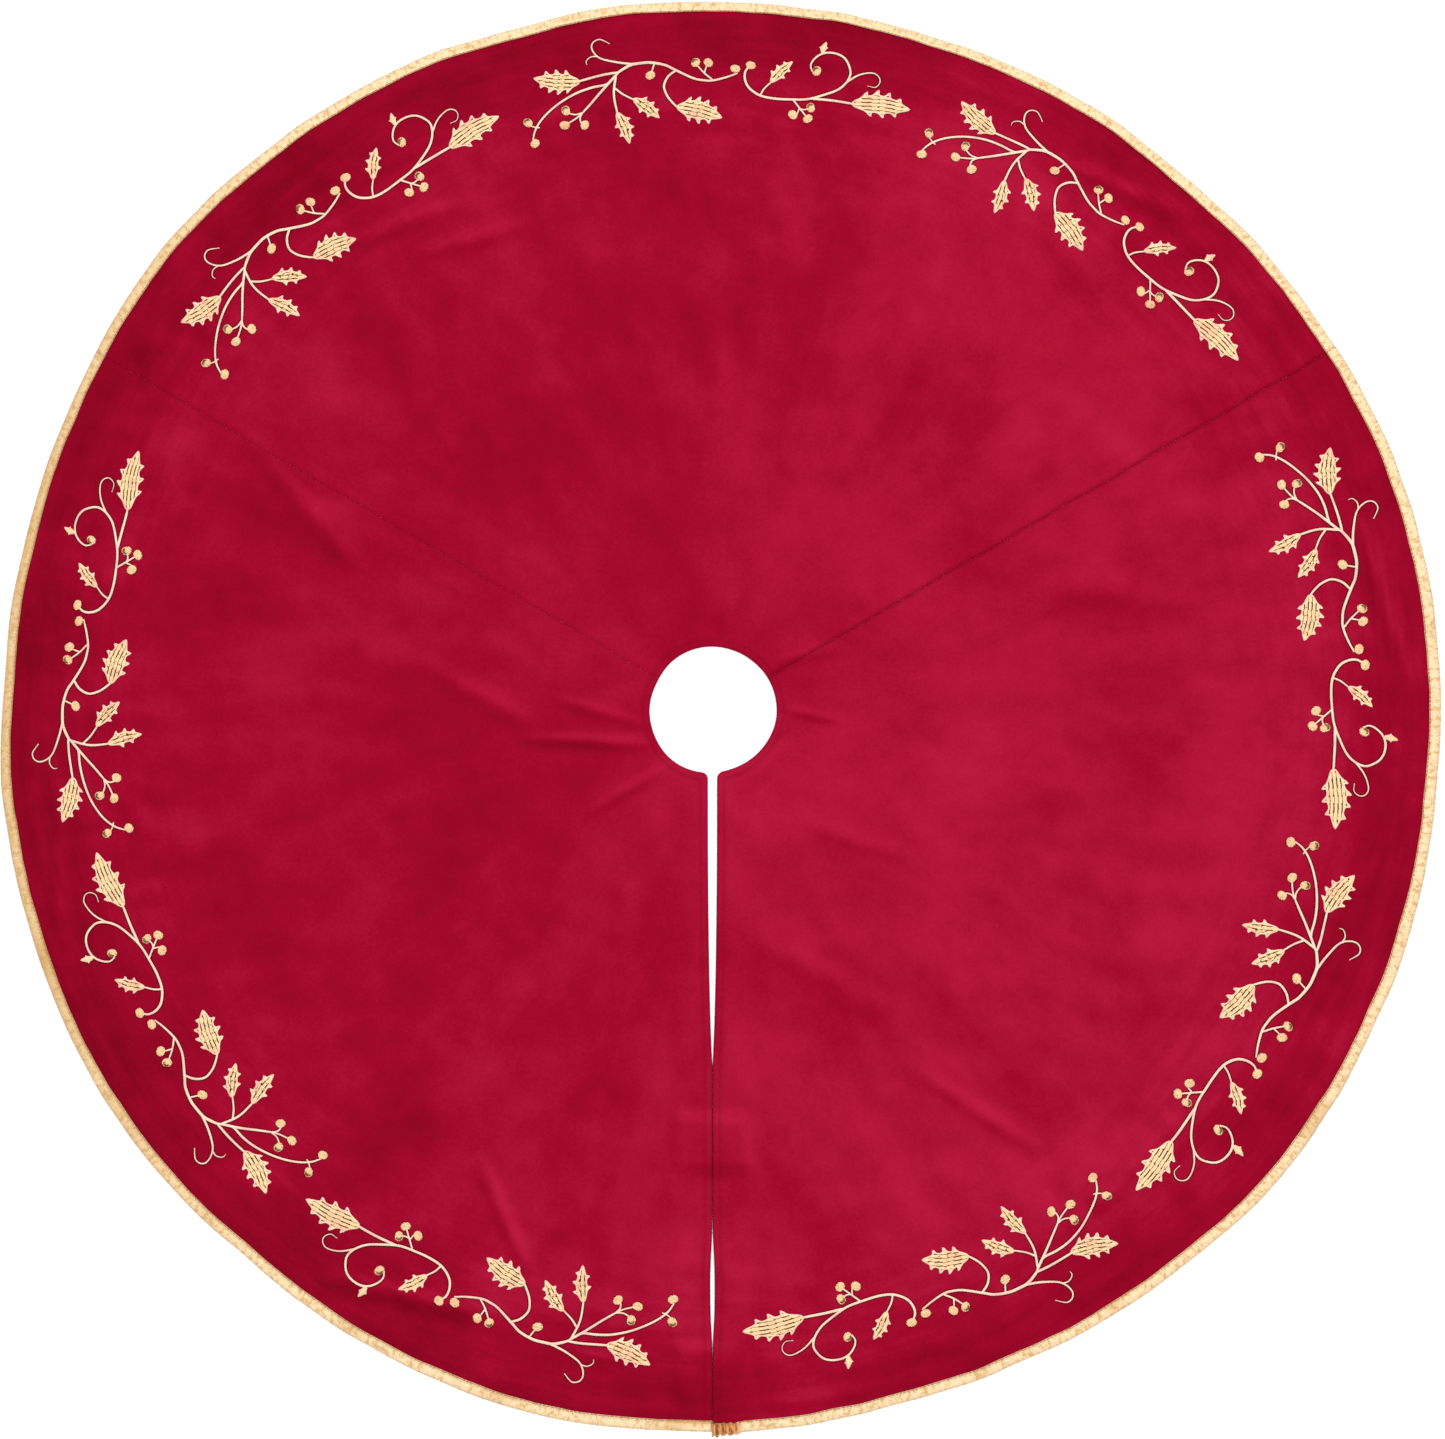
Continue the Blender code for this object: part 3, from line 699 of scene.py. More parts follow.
def settle(piece):
    # the modifiers' result becomes the piece's own mesh
    bpy.context.view_layer.update()
    graph = bpy.context.evaluated_depsgraph_get()
    mesh = bpy.data.meshes.new_from_object(piece.evaluated_get(graph))
    mesh.name = piece.name
    piece.modifiers.clear()
    piece.data = mesh
    return piece


def giveThickness(piece, thickness):
    shell = piece.modifiers.new("thickness", "SOLIDIFY")
    shell.thickness = thickness
    shell.offset = -1.0
    return settle(piece)


def setAttribute(mesh, name, values):
    attribute = mesh.attributes.new(name, "FLOAT", "POINT")
    attribute.data.foreach_set("value", np.asarray(values, np.float32).ravel())


def goreEdges(gore, radius):
    # turns of the gore's two side edges at each radius
    start, end = (math.radians(turn) for turn in gores[gore])
    slit = np.arcsin(slitHalfGap(radius) / radius)
    seam = 0.00004 / radius
    return start + (slit if gore == "right" else seam), end - (slit if gore == "left" else seam)


def goreGrid(gore, radii, edgeSteps, middleSteps):
    # flat points: rows from the hole outwards, columns from edge to edge, closer at the edges
    first, last = goreEdges(gore, radii)
    steps = np.asarray(edgeSteps)
    head = first[:, None] + steps[None, :] / radii[:, None]
    tail = last[:, None] - steps[None, ::-1] / radii[:, None]
    share = np.linspace(0, 1, middleSteps + 1)[1:-1]
    middle = head[:, -1:] + (tail[:, :1] - head[:, -1:]) * share[None, :]
    turns = np.hstack([head, middle, tail])
    aside = np.minimum(turns - first[:, None], last[:, None] - turns) * radii[:, None]
    nearFirst = turns - first[:, None] < last[:, None] - turns
    return atTurn(radii[:, None], turns), turns, aside, nearFirst


def turnedEdge(away, drop, reach):
    # the quarter round where cloth is turned under
    inner = np.clip(1 - away / reach, 0, 1)
    return -drop * (1 - np.sqrt(1 - inner ** 2))


# Velvet gores.
goreValues = {
    "grid": 0.0056,
    "edgeSteps": [0, 0.00012, 0.0004, 0.0009, 0.0016, 0.0028, 0.0042, 0.0055, 0.0070, 0.0095],
    "turnDrop": 0.0017, "turnReach": 0.0016,
    "ridgeAt": 0.0042, "ridgeHeight": 0.00060, "ridgeWidth": 0.0014,
    "seamDepth": 0.0010, "seamWidth": 0.0010,
    "puckerHeight": 0.00035, "puckerLength": 0.011, "puckerReach": 0.011,
    "hemRippleHeight": 0.00060, "hemRippleLength": 0.017, "hemRippleReach": 0.022,
    "besideSeam": 0.0042, "besideHeight": 0.00030, "besideWidth": 0.0028,
    "holeRippleHeight": 0.00045, "holeRippleReach": 0.02,
    "hemEdge": 0.0009,         # the velvet stops this far inside the binding's outer edge
    "aboveFloor": 0.00003,
    # painted shade: dark lines in the seams' grooves, just inside the binding and beside the ridge along the
    # turned edges, each how dark, how far from the seam, the hem or the turned edge, and how wide; the edge
    # pair paints shade right at the turned edges, how dark and how far it reaches
    "shadeLines": [(0.6, 0.0, 0.0026), (0.7, 0.0098, 0.0018), (0.65, 0.0060, 0.0013)],
    "shadeEdge": (0.9, 0.0012),
    "slopeShadeTone": (-0.8, -1.5),  # painted light and shade: cloth sloping towards +X or +Y is painted darker or lighter
    "slopeShadeMost": 0.42,
    "faintSeam": 0.45,         # the left seam is pressed flatter than the right one
}


def noiseOver(first, second, seed):
    flat = zip(first.ravel(), second.ravel())
    return np.array([noise.noise(Vector((a, b, seed))) for a, b in flat]).reshape(first.shape)


def velvetLevels(gore, points, turns, aside, nearFirst, values):
    radius = np.linalg.norm(points, axis=-1)
    fromHole = radius - holeRadius
    fromHem = hemRadius - radius
    onSlit = nearFirst if gore == "right" else ~nearFirst
    if gore == "back":
        onSlit = np.zeros_like(nearFirst)
    level = np.full(radius.shape, velvetTop)
    slitSide = np.where(onSlit, aside, 1.0)
    seamSide = np.where(onSlit, 1.0, aside)
    level += turnedEdge(fromHole, values["turnDrop"], values["turnReach"])
    level += turnedEdge(slitSide, values["turnDrop"], values["turnReach"])
    nearEdge = np.minimum(fromHole, slitSide)
    wave = 1 + 0.5 * np.sin(radius * 310 + turns * 37)
    ridge = np.exp(-((nearEdge - values["ridgeAt"]) / values["ridgeWidth"]) ** 2)
    level += values["ridgeHeight"] * wave * ridge
    faint = values["faintSeam"]
    seam = faint if gore == "left" else np.where(nearFirst, 1.0, faint) if gore == "back" else 1.0
    level -= values["seamDepth"] * seam * np.exp(-(seamSide / values["seamWidth"]) ** 1.3)
    beside = np.exp(-((seamSide - values["besideSeam"]) / values["besideWidth"]) ** 2)
    level += values["besideHeight"] * seam * beside
    pucker = noiseOver(radius / values["puckerLength"], turns * 3, 4.0)
    reach = np.exp(-np.minimum(seamSide, slitSide) / values["puckerReach"])
    level += 2 * values["puckerHeight"] * pucker * reach
    ripple = noiseOver(turns * hemRadius / values["hemRippleLength"], radius * 9, 7.0)
    reach = np.exp(-fromHem / values["hemRippleReach"]) * smooth(0.007, 0.015, fromHem)
    level += 2 * values["hemRippleHeight"] * ripple * reach
    ripple = noiseOver(turns * 5.5, radius * 20, 2.0)
    reach = np.exp(-fromHole / values["holeRippleReach"]) * smooth(0, 0.003, fromHole)
    level += 2 * values["holeRippleHeight"] * ripple * reach
    level -= 0.0002 * (1 - smooth(0.008, 0.012, fromHem))
    # painted shade: dark lines along the seams, just inside the binding and beside the turned edges, where
    # those grooves and ridges fall into shade
    pressed = np.zeros(radius.shape)
    for (share, middle, width), away in zip(values["shadeLines"], (seamSide, fromHem, nearEdge)):
        pressed += share * (seam if away is seamSide else 1.0) * np.exp(-((away - middle) / width) ** 2)
    share, reach = values["shadeEdge"]
    pressed += share * np.exp(-nearEdge / reach)
    shallow = velvetTop - values["turnDrop"] * (np.minimum(fromHole, slitSide) < 0.002) - 0.0011
    return np.maximum(level, shallow), np.clip(pressed, 0, 1)


def layLevels(points, level):
    # rows of flat points, laid
    return layMap.place(points.reshape(-1, 2), level.ravel()).reshape(*level.shape, 3)


def makeVelvetGore(gore, values):
    steps = np.array(values["edgeSteps"])
    outer = hemRadius - values["hemEdge"]
    count = round((outer - holeRadius - steps[-1]) / values["grid"])
    radii = np.concatenate([holeRadius + steps[:-1], np.linspace(holeRadius + steps[-1], outer, count)])
    middleSteps = round(hemRadius * math.radians(120) / values["grid"])
    points, turns, aside, nearFirst = goreGrid(gore, radii, steps, middleSteps)
    level, pressed = velvetLevels(gore, points, turns, aside, nearFirst, values)
    mesh = gridMesh(f"velvet{gore.capitalize()}", layLevels(points, level))
    # the painted shade lines ride on the mesh for the velvet's finish
    setAttribute(mesh, "pressed", pressed)
    # painted light and shade: the velvet's tone follows the slope of the laid cloth, as if lit from one side
    easting, northing = layMap.slopes(points.reshape(-1, 2))
    leanX, leanY = values["slopeShadeTone"]
    most = values["slopeShadeMost"]
    setAttribute(mesh, "lean", np.clip(leanX * easting + leanY * northing, -most, most))
    piece = giveThickness(addPiece(mesh.name, mesh, finishes["velvet"]), velvetTop - velvetUnder)
    # no part of the turned edges goes below the floor
    places = meshPlaces(piece.data)
    places[:, 2] = np.maximum(places[:, 2], values["aboveFloor"])
    piece.data.vertices.foreach_set("co", places.ravel())
    return piece


velvets = {gore: makeVelvetGore(gore, goreValues) for gore in gores}
print("velvet gores:", sum(len(piece.data.polygons) for piece in velvets.values()), "faces")

# Lining.
liningSheetValues = {
    "grid": 0.009, "inset": 0.0024, "hemEdge": 0.0015, "top": 0.00082, "thickness": 0.0003,
    # columns beside a seam, closer together there
    "edgeSteps": [0, 0.0006, 0.002, 0.0035, 0.005, 0.0065, 0.008, 0.0095, 0.011, 0.0125, 0.014, 0.016,
                  0.0185],
}


def makeLiningGore(gore, values):
    outer = hemRadius - values["hemEdge"]
    inner = holeRadius + values["inset"]
    radii = np.linspace(inner, outer, round((outer - inner) / values["grid"]))
    middleSteps = round(hemRadius * math.radians(120) / values["grid"])
    points, turns, _, _ = goreGrid(gore, radii, values["edgeSteps"], middleSteps)
    if gore != "back":
        # the lining stops short of the turned slit edge
        first, last = goreEdges(gore, radii)
        first, last = first[:, None], last[:, None]
        pull = values["inset"] / radii[:, None]
        if gore == "right":
            turns = last - (last - turns) * (1 - pull / (last - first))
        else:
            turns = first + (turns - first) * (1 - pull / (last - first))
        points = atTurn(radii[:, None], turns)
    mesh = gridMesh(f"lining{gore.capitalize()}", layLevels(points, np.full(turns.shape, values["top"])))
    piece = addPiece(mesh.name, mesh, finishes["lining"])
    return giveThickness(piece, values["thickness"])


linings = {gore: makeLiningGore(gore, liningSheetValues) for gore in gores}
print("linings ready")

# Hem binding.
hemValues = {
    "grid": 0.0034,
    # inset from the hem's edge and level: under, round the edge, over, and tucked in
    "section": [(9.2, 0.16), (8.4, 0.02), (5.0, 0.0), (1.4, 0.05), (0.4, 0.35), (0.0, 1.1), (0.1, 1.9),
                (0.7, 2.55), (1.8, 2.84), (3.8, 2.92), (5.6, 2.92), (6.2, 2.84), (6.6, 2.76), (7.0, 2.86),
                (7.5, 3.04), (8.5, 3.22), (9.2, 3.12), (9.5, 2.82), (9.3, 2.52), (8.0, 2.46)],
    "thickness": 0.00032, "puckerHeight": 0.000352, "puckerLength": 0.0055,
    "widthWander": 0.0005,
    "crumpleLength": 0.024, "crumpleHang": 0.0030, "crumpleHeight": 0.0010, "crumpleWave": 0.0006,
    "stainLength": 0.030,
}


def hemTurns(gore, values):
    first, last = goreEdges(gore, np.array([hemRadius]))
    first, last = float(first[0]), float(last[0])
    count = round((last - first) * hemRadius / values["grid"])
    turns = np.linspace(first, last, count)
    if gore == "right":
        end = first + 1.2 * values["crumpleLength"] / hemRadius
        fine = np.arange(first, end, 0.0007 / hemRadius)
        turns = np.concatenate([fine, turns[turns > end]])
    return turns


def crumple(gore, along, values):
    # the binding is bunched up where it ends at the slit's right edge
    if gore != "right":
        return np.zeros_like(along)
    return 1 - smooth(0.72, 1.15, along / values["crumpleLength"])


def bindingPlaces(gore, turns, insets, levels, values):
    # one or more lines along the binding: insets and levels are (lines, 1) in metres
    along = turns[None, :] * hemRadius
    crumpled = crumple(gore, along, values)
    over = smooth(0.0012, 0.0026, levels)
    line = np.column_stack([turns * hemRadius, turns * 0])
    wander = noiseAt(line, 45, 5.0)[None, :]
    pucker = noiseAt(line, 1 / values["puckerLength"], 6.0)[None, :]
    lift = values["puckerHeight"] * pucker * over * smooth(0.002, 0.006, insets)
    fold = np.sin(along / 0.0042 * fullTurn * 0.72 + insets / 0.0095 * 3.4 + 4 * wander)
    fine = noiseAt(line, 380, 9.0)[None, :]
    lift = lift + values["crumpleHeight"] * crumpled * over * (fold * 0.8 + fine + 0.55)
    inward = insets * (1 - 0.16 * crumpled) + values["widthWander"] * wander * smooth(0.004, 0.009, insets)
    # only the outer edge hangs, most at the very end
    hang = crumpled * (0.7 + 0.4 * fine + 0.7 * np.exp(-along / 0.004))
    hang = hang * (1 - 1.1 * smooth(0, 0.0095, insets))
    inward = inward - values["crumpleHang"] * hang + values["crumpleWave"] * crumpled * fold
    radius = hemRadius - inward
    points = atTurn(radius, np.broadcast_to(turns[None, :], radius.shape))
    level = np.maximum(levels + lift, 0.0)
    stain = 0.55 * np.exp(-((fullTurn - turns)[None, :] * hemRadius / values["stainLength"]) ** 2)
    return points, level, crumpled * (0.85 + 0.4 * fine) + stain * smooth(0.004, 0.008, insets)


def makeBinding(gore, values):
    turns = hemTurns(gore, values)
    section = np.array(values["section"]) * millimetre
    points, level, worn = bindingPlaces(gore, turns, section[:, :1], section[:, 1:], values)
    mesh = gridMesh(f"hemBinding{gore.capitalize()}", layLevels(points, level), flip=True)
    setAttribute(mesh, "worn", np.clip(np.broadcast_to(worn, level.shape), 0, 1))
    across = np.concatenate([[0], np.cumsum(np.linalg.norm(np.diff(section, axis=0), axis=1))])
    flat = np.stack(np.broadcast_arrays(turns[None, :] * hemRadius, across[:, None]), axis=-1).reshape(-1, 2)
    corners = np.zeros(len(mesh.loops), int)
    mesh.loops.foreach_get("vertex_index", corners)
    mesh.uv_layers.new(name="strip").data.foreach_set("uv", flat[corners].ravel())
    piece = addPiece(mesh.name, mesh, finishes["binding"])
    bpy.context.view_layer.update()
    return giveThickness(piece, values["thickness"])


bindings = {gore: makeBinding(gore, hemValues) for gore in gores}
print("hem binding ready")


# Stitching.
def newTree(name, inputs):
    tree = bpy.data.node_groups.new(name, "GeometryNodeTree")
    tree.interface.new_socket("Geometry", in_out="INPUT", socket_type="NodeSocketGeometry")
    tree.interface.new_socket("Geometry", in_out="OUTPUT", socket_type="NodeSocketGeometry")
    for label, kind in inputs:
        tree.interface.new_socket(label, in_out="INPUT", socket_type="NodeSocket" + kind)
    return tree


def treeNode(tree, kind, settings=None, **values):
    node = tree.nodes.new(kind)
    for setting, value in (settings or {}).items():
        setattr(node, setting, value)
    for label, value in values.items():
        socket = node.inputs[label.replace("_", " ")]
        if isinstance(value, bpy.types.NodeSocket):
            tree.links.new(value, socket)
        else:
            socket.default_value = value
    return node


def treeMath(tree, operation, first, second):
    node = tree.nodes.new("ShaderNodeMath")
    node.operation = operation
    for socket, value in zip(node.inputs, (first, second)):
        if isinstance(value, bpy.types.NodeSocket):
            tree.links.new(value, socket)
        else:
            socket.default_value = value
    return node.outputs[0]


def combined(tree, **values):
    return treeNode(tree, "ShaderNodeCombineXYZ", **values).outputs[0]


def threadShape(tree, length, height, radius):
    # one stitch: an arched strand along X, with closed ends
    start = combined(tree, X=treeMath(tree, "MULTIPLY", length, -0.5))
    middle = combined(tree, Z=treeMath(tree, "MULTIPLY", height, 2.0))
    end = combined(tree, X=treeMath(tree, "MULTIPLY", length, 0.5))
    arch = treeNode(tree, "GeometryNodeCurveQuadraticBezier", Resolution=3, Start=start, Middle=middle,
                    End=end)
    ring = treeNode(tree, "GeometryNodeCurvePrimitiveCircle", Resolution=4, Radius=radius)
    strand = treeNode(tree, "GeometryNodeCurveToMesh", Curve=arch.outputs[0],
                      Profile_Curve=ring.outputs[0], Fill_Caps=True)
    return strand.outputs[0]


def finishTree(tree, geometry, material):
    whole = treeNode(tree, "GeometryNodeRealizeInstances", Geometry=geometry)
    soft = treeNode(tree, "GeometryNodeSetShadeSmooth", Geometry=whole.outputs[0], Shade_Smooth=True)
    coated = treeNode(tree, "GeometryNodeSetMaterial", Geometry=soft.outputs[0], Material=material)
    end = tree.nodes.new("NodeGroupOutput")
    tree.links.new(coated.outputs[0], end.inputs[0])
    return tree


def makeStitchTree(name, facingAxis, slant, swelling):
    # strands along each path, across it or end to end, each as long as twice the path's radius
    sizes = [(label, "Float") for label in ("Pitch", "Span", "Arch", "Strand", "Slant")]
    tree = newTree(name, [*sizes, ("Seed", "Int"), ("Thread", "Material")])
    given = tree.nodes.new("NodeGroupInput").outputs
    line = treeNode(tree, "GeometryNodeResampleCurve", {"mode": "LENGTH"}, Curve=given["Geometry"],
                    Length=given["Pitch"])
    strand = threadShape(tree, given["Span"], given["Arch"], given["Strand"])
    along = tree.nodes.new("GeometryNodeInputTangent").outputs[0]
    facing = treeNode(tree, "FunctionNodeAlignRotationToVector", {"axis": facingAxis, "pivot_axis": "Z"},
                      Vector=along)
    lean = tree.nodes.new("FunctionNodeRandomValue")
    lean.data_type = "FLOAT"
    tree.links.new(treeMath(tree, "MULTIPLY", given["Slant"], -1.0), lean.inputs[2])
    tree.links.new(given["Slant"], lean.inputs[3])
    tree.links.new(given["Seed"], lean.inputs["Seed"])
    tilt = combined(tree, Z=treeMath(tree, "ADD", lean.outputs[1], slant))
    turned = treeNode(tree, "FunctionNodeRotateRotation", {"rotation_space": "LOCAL"},
                      Rotation=facing.outputs[0], Rotate_By=tilt)
    radius = tree.nodes.new("GeometryNodeInputRadius").outputs[0]
    long = treeMath(tree, "DIVIDE", treeMath(tree, "MULTIPLY", radius, 2.0), given["Span"])
    size = combined(tree, X=long, Y=1.0, Z=treeMath(tree, "POWER", long, swelling))
    rows = treeNode(tree, "GeometryNodeInstanceOnPoints", Points=line.outputs[0], Instance=strand,
                    Rotation=turned.outputs[0], Scale=size)
    return finishTree(tree, rows.outputs[0], given["Thread"])


trees = {"satin": makeStitchTree("satinStitch", "Y", 0.16, 0.55),
         "running": makeStitchTree("runningStitch", "X", 0.0, 0.0)}


def stitch(kind, paths, thread, **values):
    # paths are lists of (x, y, z, half a stitch); the result is a plain mesh
    curve = bpy.data.curves.new("stitchPaths", "CURVE")
    curve.dimensions = "3D"
    for path in paths:
        line = curve.splines.new("POLY")
        line.points.add(len(path) - 1)
        path = np.asarray(path, float)
        line.points.foreach_set("co", np.column_stack([path[:, :3], np.ones(len(path))]).ravel())
        line.points.foreach_set("radius", path[:, 3])
    holder = bpy.data.objects.new("stitchPaths", curve)
    bpy.context.scene.collection.objects.link(holder)
    tree = trees[kind]
    sewing = holder.modifiers.new("stitches", "NODES")
    sewing.node_group = tree
    values["Thread"] = thread
    for item in tree.interface.items_tree:
        if item.item_type == "SOCKET" and item.in_out == "INPUT" and item.name in values:
            sewing[item.identifier] = values[item.name]
    bpy.context.view_layer.update()
    graph = bpy.context.evaluated_depsgraph_get()
    mesh = bpy.data.meshes.new_from_object(holder.evaluated_get(graph))
    bpy.data.objects.remove(holder)
    return mesh


def joinMeshes(name, parts):
    # parts are (mesh, material); each keeps its own material
    piece = bmesh.new()
    materials = []
    for mesh, material in parts:
        if material not in materials:
            materials.append(material)
        before = len(piece.faces)
        piece.from_mesh(mesh)
        piece.faces.ensure_lookup_table()
        for face in piece.faces[before:]:
            face.material_index = materials.index(material)
            face.smooth = True
    joined = bpy.data.meshes.new(name)
    piece.to_mesh(joined)
    piece.free()
    return joined, materials


def layMesh(mesh, level):
    # a mesh drawn flat, with its height above zero, is laid at that level of the pile
    places = meshPlaces(mesh)
    laid = layMap.place(places[:, :2], places[:, 2] + level)
    mesh.vertices.foreach_set("co", laid.ravel())
    mesh.update()
    return mesh


# Hem stitches.
hemStitchValues = {
    "inner": {"inset": 0.0088, "level": 0.00322, "pitch": 0.0034, "length": 0.0029, "strand": 0.00034},
    "outer": {"inset": 0.0011, "level": 0.00274, "pitch": 0.0034, "length": 0.0022, "strand": 0.00020},
}


def makeHemStitches(gore, values):
    parts = []
    for line, thread in (("inner", "brownThread"), ("outer", "edgeThread")):
        sizes = values[line]
        turns = hemTurns(gore, hemValues)
        inset, level = np.array([[sizes["inset"]]]), np.array([[sizes["level"]]])
        points, levels, _ = bindingPlaces(gore, turns, inset, level, hemValues)
        path = np.column_stack([points[0], levels[0], np.full(len(turns), sizes["length"] / 2)])
        mesh = stitch("running", [path], finishes[thread], Pitch=sizes["pitch"], Span=sizes["length"],
                      Arch=0.0001, Strand=sizes["strand"], Slant=0.05, Seed=3)
        parts.append((layMesh(mesh, 0.0), finishes[thread]))
    mesh, materials = joinMeshes(f"hemStitches{gore.capitalize()}", parts)
    return addPiece(mesh.name, mesh, *materials)


hemStitches = {gore: makeHemStitches(gore, hemStitchValues) for gore in gores}
print("hem stitches ready")

# Embroidery.
# Both motifs are drawn in millimetres: x runs clockwise along the hem, y outwards. A stem is a
# run of points with its width at both ends, and a leaf has a base, a tip and a body width.
branchDrawing = {
    "stems": [
        ([(17.2, 14.6), (7.4, 10.9), (-4, 8), (-11.5, 8.2), (-20.6, 10.1), (-36.5, 17.3), (-44.8, 21.1),
          (-56.9, 23), (-66, 22.2), (-73.5, 20.7), (-80.3, 16.9), (-85.6, 13.1)], 2.1, 3.1),
        ([(-71, 21.3), (-81.8, 22.2), (-91.7, 24.1), (-99.2, 26.4), (-103.8, 29.8), (-106.8, 34.3),
          (-107.6, 38.5), (-105.7, 42.2), (-101.5, 44.1), (-97.7, 43), (-92.4, 40)], 2.5, 1.2),
        ([(-101.8, 28.2), (-106.8, 28.2), (-110.2, 26), (-111.7, 23.3), (-111, 21.1)], 1.6, 1.0),
        ([(-85.6, 13.9), (-96.2, 12), (-106.8, 9.3), (-118.9, 5.9)], 2.5, 2.2),
        ([(-92.5, 5), (-96.5, 3.2), (-106.8, 1), (-118.9, -3.5), (-131.8, -11.1), (-142.3, -20.2),
          (-149.9, -29.2), (-154.4, -37.6), (-156, -45.1)], 2.5, 2.0),
        ([(-150.6, -34.6), (-154, -34.4), (-157.5, -33.4)], 1.7, 1.5),
        ([(-85.6, 12.4), (-94.7, 2.5), (-100.7, -4.3), (-106.8, -11.8), (-114.4, -20.9)], 2.7, 2.2),
        ([(-114.4, -20.9), (-120.4, -22.8), (-127.2, -21.6)], 1.8, 1.6),
        ([(-114.8, -21.4), (-118.9, -25.4), (-124.9, -29.6), (-128, -31.5)], 1.9, 1.7),
        ([(-114.4, -21), (-116.4, -24.9), (-116, -29), (-113.6, -31.6)], 1.9, 1.6),
        ([(-86.4, 11), (-88.3, -0.5), (-87.9, -9.6), (-84.9, -22.4)], 2.5, 2.1),
        ([(-87.7, 0.8), (-81.1, -4.3), (-72, -8.8)], 2.2, 1.8),
        ([(-53.9, 21.6), (-55.8, 15)], 1.8, 1.6),
        ([(-34.6, 16.9), (-41.8, 10.9), (-45.2, 2.5), (-42.5, -5.8), (-38, -11.8), (-32.7, -17.1)], 2.4, 2.2),
        ([(-3.6, 8.6), (-10.8, 14.6), (-16.8, 21.4)], 2.0, 1.7),
        ([(-10.8, 14.6), (-9.2, 20.7)], 1.8, 1.6),
    ],
    "leaves": [((-117.5, 5.6), (-156, 9.6), 15.0), ((-85.2, -21), (-73.9, -48.1), 9.6),
               ((-71.3, -8.4), (-49.3, -25.4), 9.8), ((-33.6, -15.8), (4, -24.9), 16.6)],
    "berries": [(15.6, 18.8), (-18.3, 24.1), (-7.5, 24.1), (-56.9, 12), (-128.7, -19.4), (-129.5, -32.3),
                (-112.2, -32), (-160.5, -30.4), (-154.2, -48.5)],
}
scrollDrawing = {
    "stems": [
        ([(27.4, 20.6), (24.3, 16.4), (23.8, 10.2), (26.6, 2.8), (33.3, -3.1), (40.5, -6.2), (50.7, -7.7),
          (62, -8), (76.4, -7.7), (88.7, -4.6), (102, 0.5), (110.2, 7.2), (114.2, 14.4), (113.8, 20.5),
          (110.2, 27.7), (104.1, 31.8), (95.9, 33.4), (88.7, 31.8), (82.9, 27.2), (80.2, 22), (81.5, 16.9)],
         2.6, 2.1),
        ([(91.2, 32.4), (90.6, 34.4)], 1.5, 1.3),
        ([(110.6, 7.6), (119.5, 13.3), (127.7, 15.9), (134.9, 15.9), (139, 12.3), (139, 7.7),
          (134.9, 4.1), (128.7, 5.1)], 2.0, 0.9),
        ([(37.4, -4.8), (40.5, 1), (46.6, 7.4)], 2.0, 1.7),
        ([(64.9, -8.2), (70.2, -15.4), (75.9, -23.1)], 2.0, 1.7),
        ([(70, -15.6), (68.2, -20.5), (66, -21.2)], 1.7, 1.5),
        ([(70.6, -16.2), (74.4, -17), (78, -15.8)], 1.7, 1.5),
        ([(80, -7.1), (96.9, -8.7), (115.4, -11.1)], 2.7, 2.5),
    ],
    "leaves": [((90.2, 32.8), (93.8, 42.8), 4.6), ((46.1, 7.2), (64.1, 25.7), 8.4),
               ((114.9, -11), (164.6, -15), 17.2)],
    "berries": [(29, 22.1), (85.4, 17.2), (64.6, -21.3), (77.4, -25.1), (79.9, -15.2)],
}
sprigValues = {
    "pitch": 0.00068, "strand": 0.00036, "arch": 0.00062, "span": 0.0026,
    # outline is how far the painted shadow reaches past a stem or berry
    "berryRadius": 0.0037, "outline": 0.0009,
    "thickness": 0.39,         # of a stem, as a share of the drawn width
    "eyeAway": 0.0013, "crescentAway": 0.0024, "eyePitch": 0.0005, "eyeArch": 0.0002, "eyeStrand": 0.00026,
}
leafValues = {
    "fillRow": 0.00056, "fillLength": 0.0060, "openEvery": 6, "openShare": 0.75,
    "edgeHalf": 0.00064, "fullness": 1.12, "shortest": 0.0009, "narrowest": 0.006,
    # how far along each side the spines stand
    "spines": [[0.20, 0.40, 0.60, 0.80], [0.29, 0.51, 0.73]], "fewSpines": [[0.26, 0.54, 0.79], [0.38, 0.68]],
    "tinySpines": [[0.42], [0.55]],
    "bayDepth": 0.22, "spineLength": 0.0029, "spineShare": 0.026, "spineLean": 0.045, "leafBend": 0.045,
}


def throughPoints(points, step):
    # a smooth line through given points, read off at even steps
    points = [Vector(point) for point in points]
    ends = [points[0] * 2 - points[1], *points, points[-1] * 2 - points[-2]]
    dense = []
    for a, b, c, d in zip(ends, ends[1:], ends[2:], ends[3:]):
        for part in range(12):
            t = part / 12
            dense.append(0.5 * ((2 * b) + (c - a) * t + (2 * a - 5 * b + 4 * c - d) * t * t
                                + (3 * b - a - 3 * c + d) * t * t * t))
    dense.append(points[-1])
    dense = np.array([tuple(point) for point in dense])
    reach = np.concatenate([[0], np.cumsum(np.linalg.norm(np.diff(dense, axis=0), axis=1))])
    marks = np.linspace(0, reach[-1], max(3, round(reach[-1] / step) + 1))
    return np.column_stack([np.interp(marks, reach, dense[:, side]) for side in range(2)])


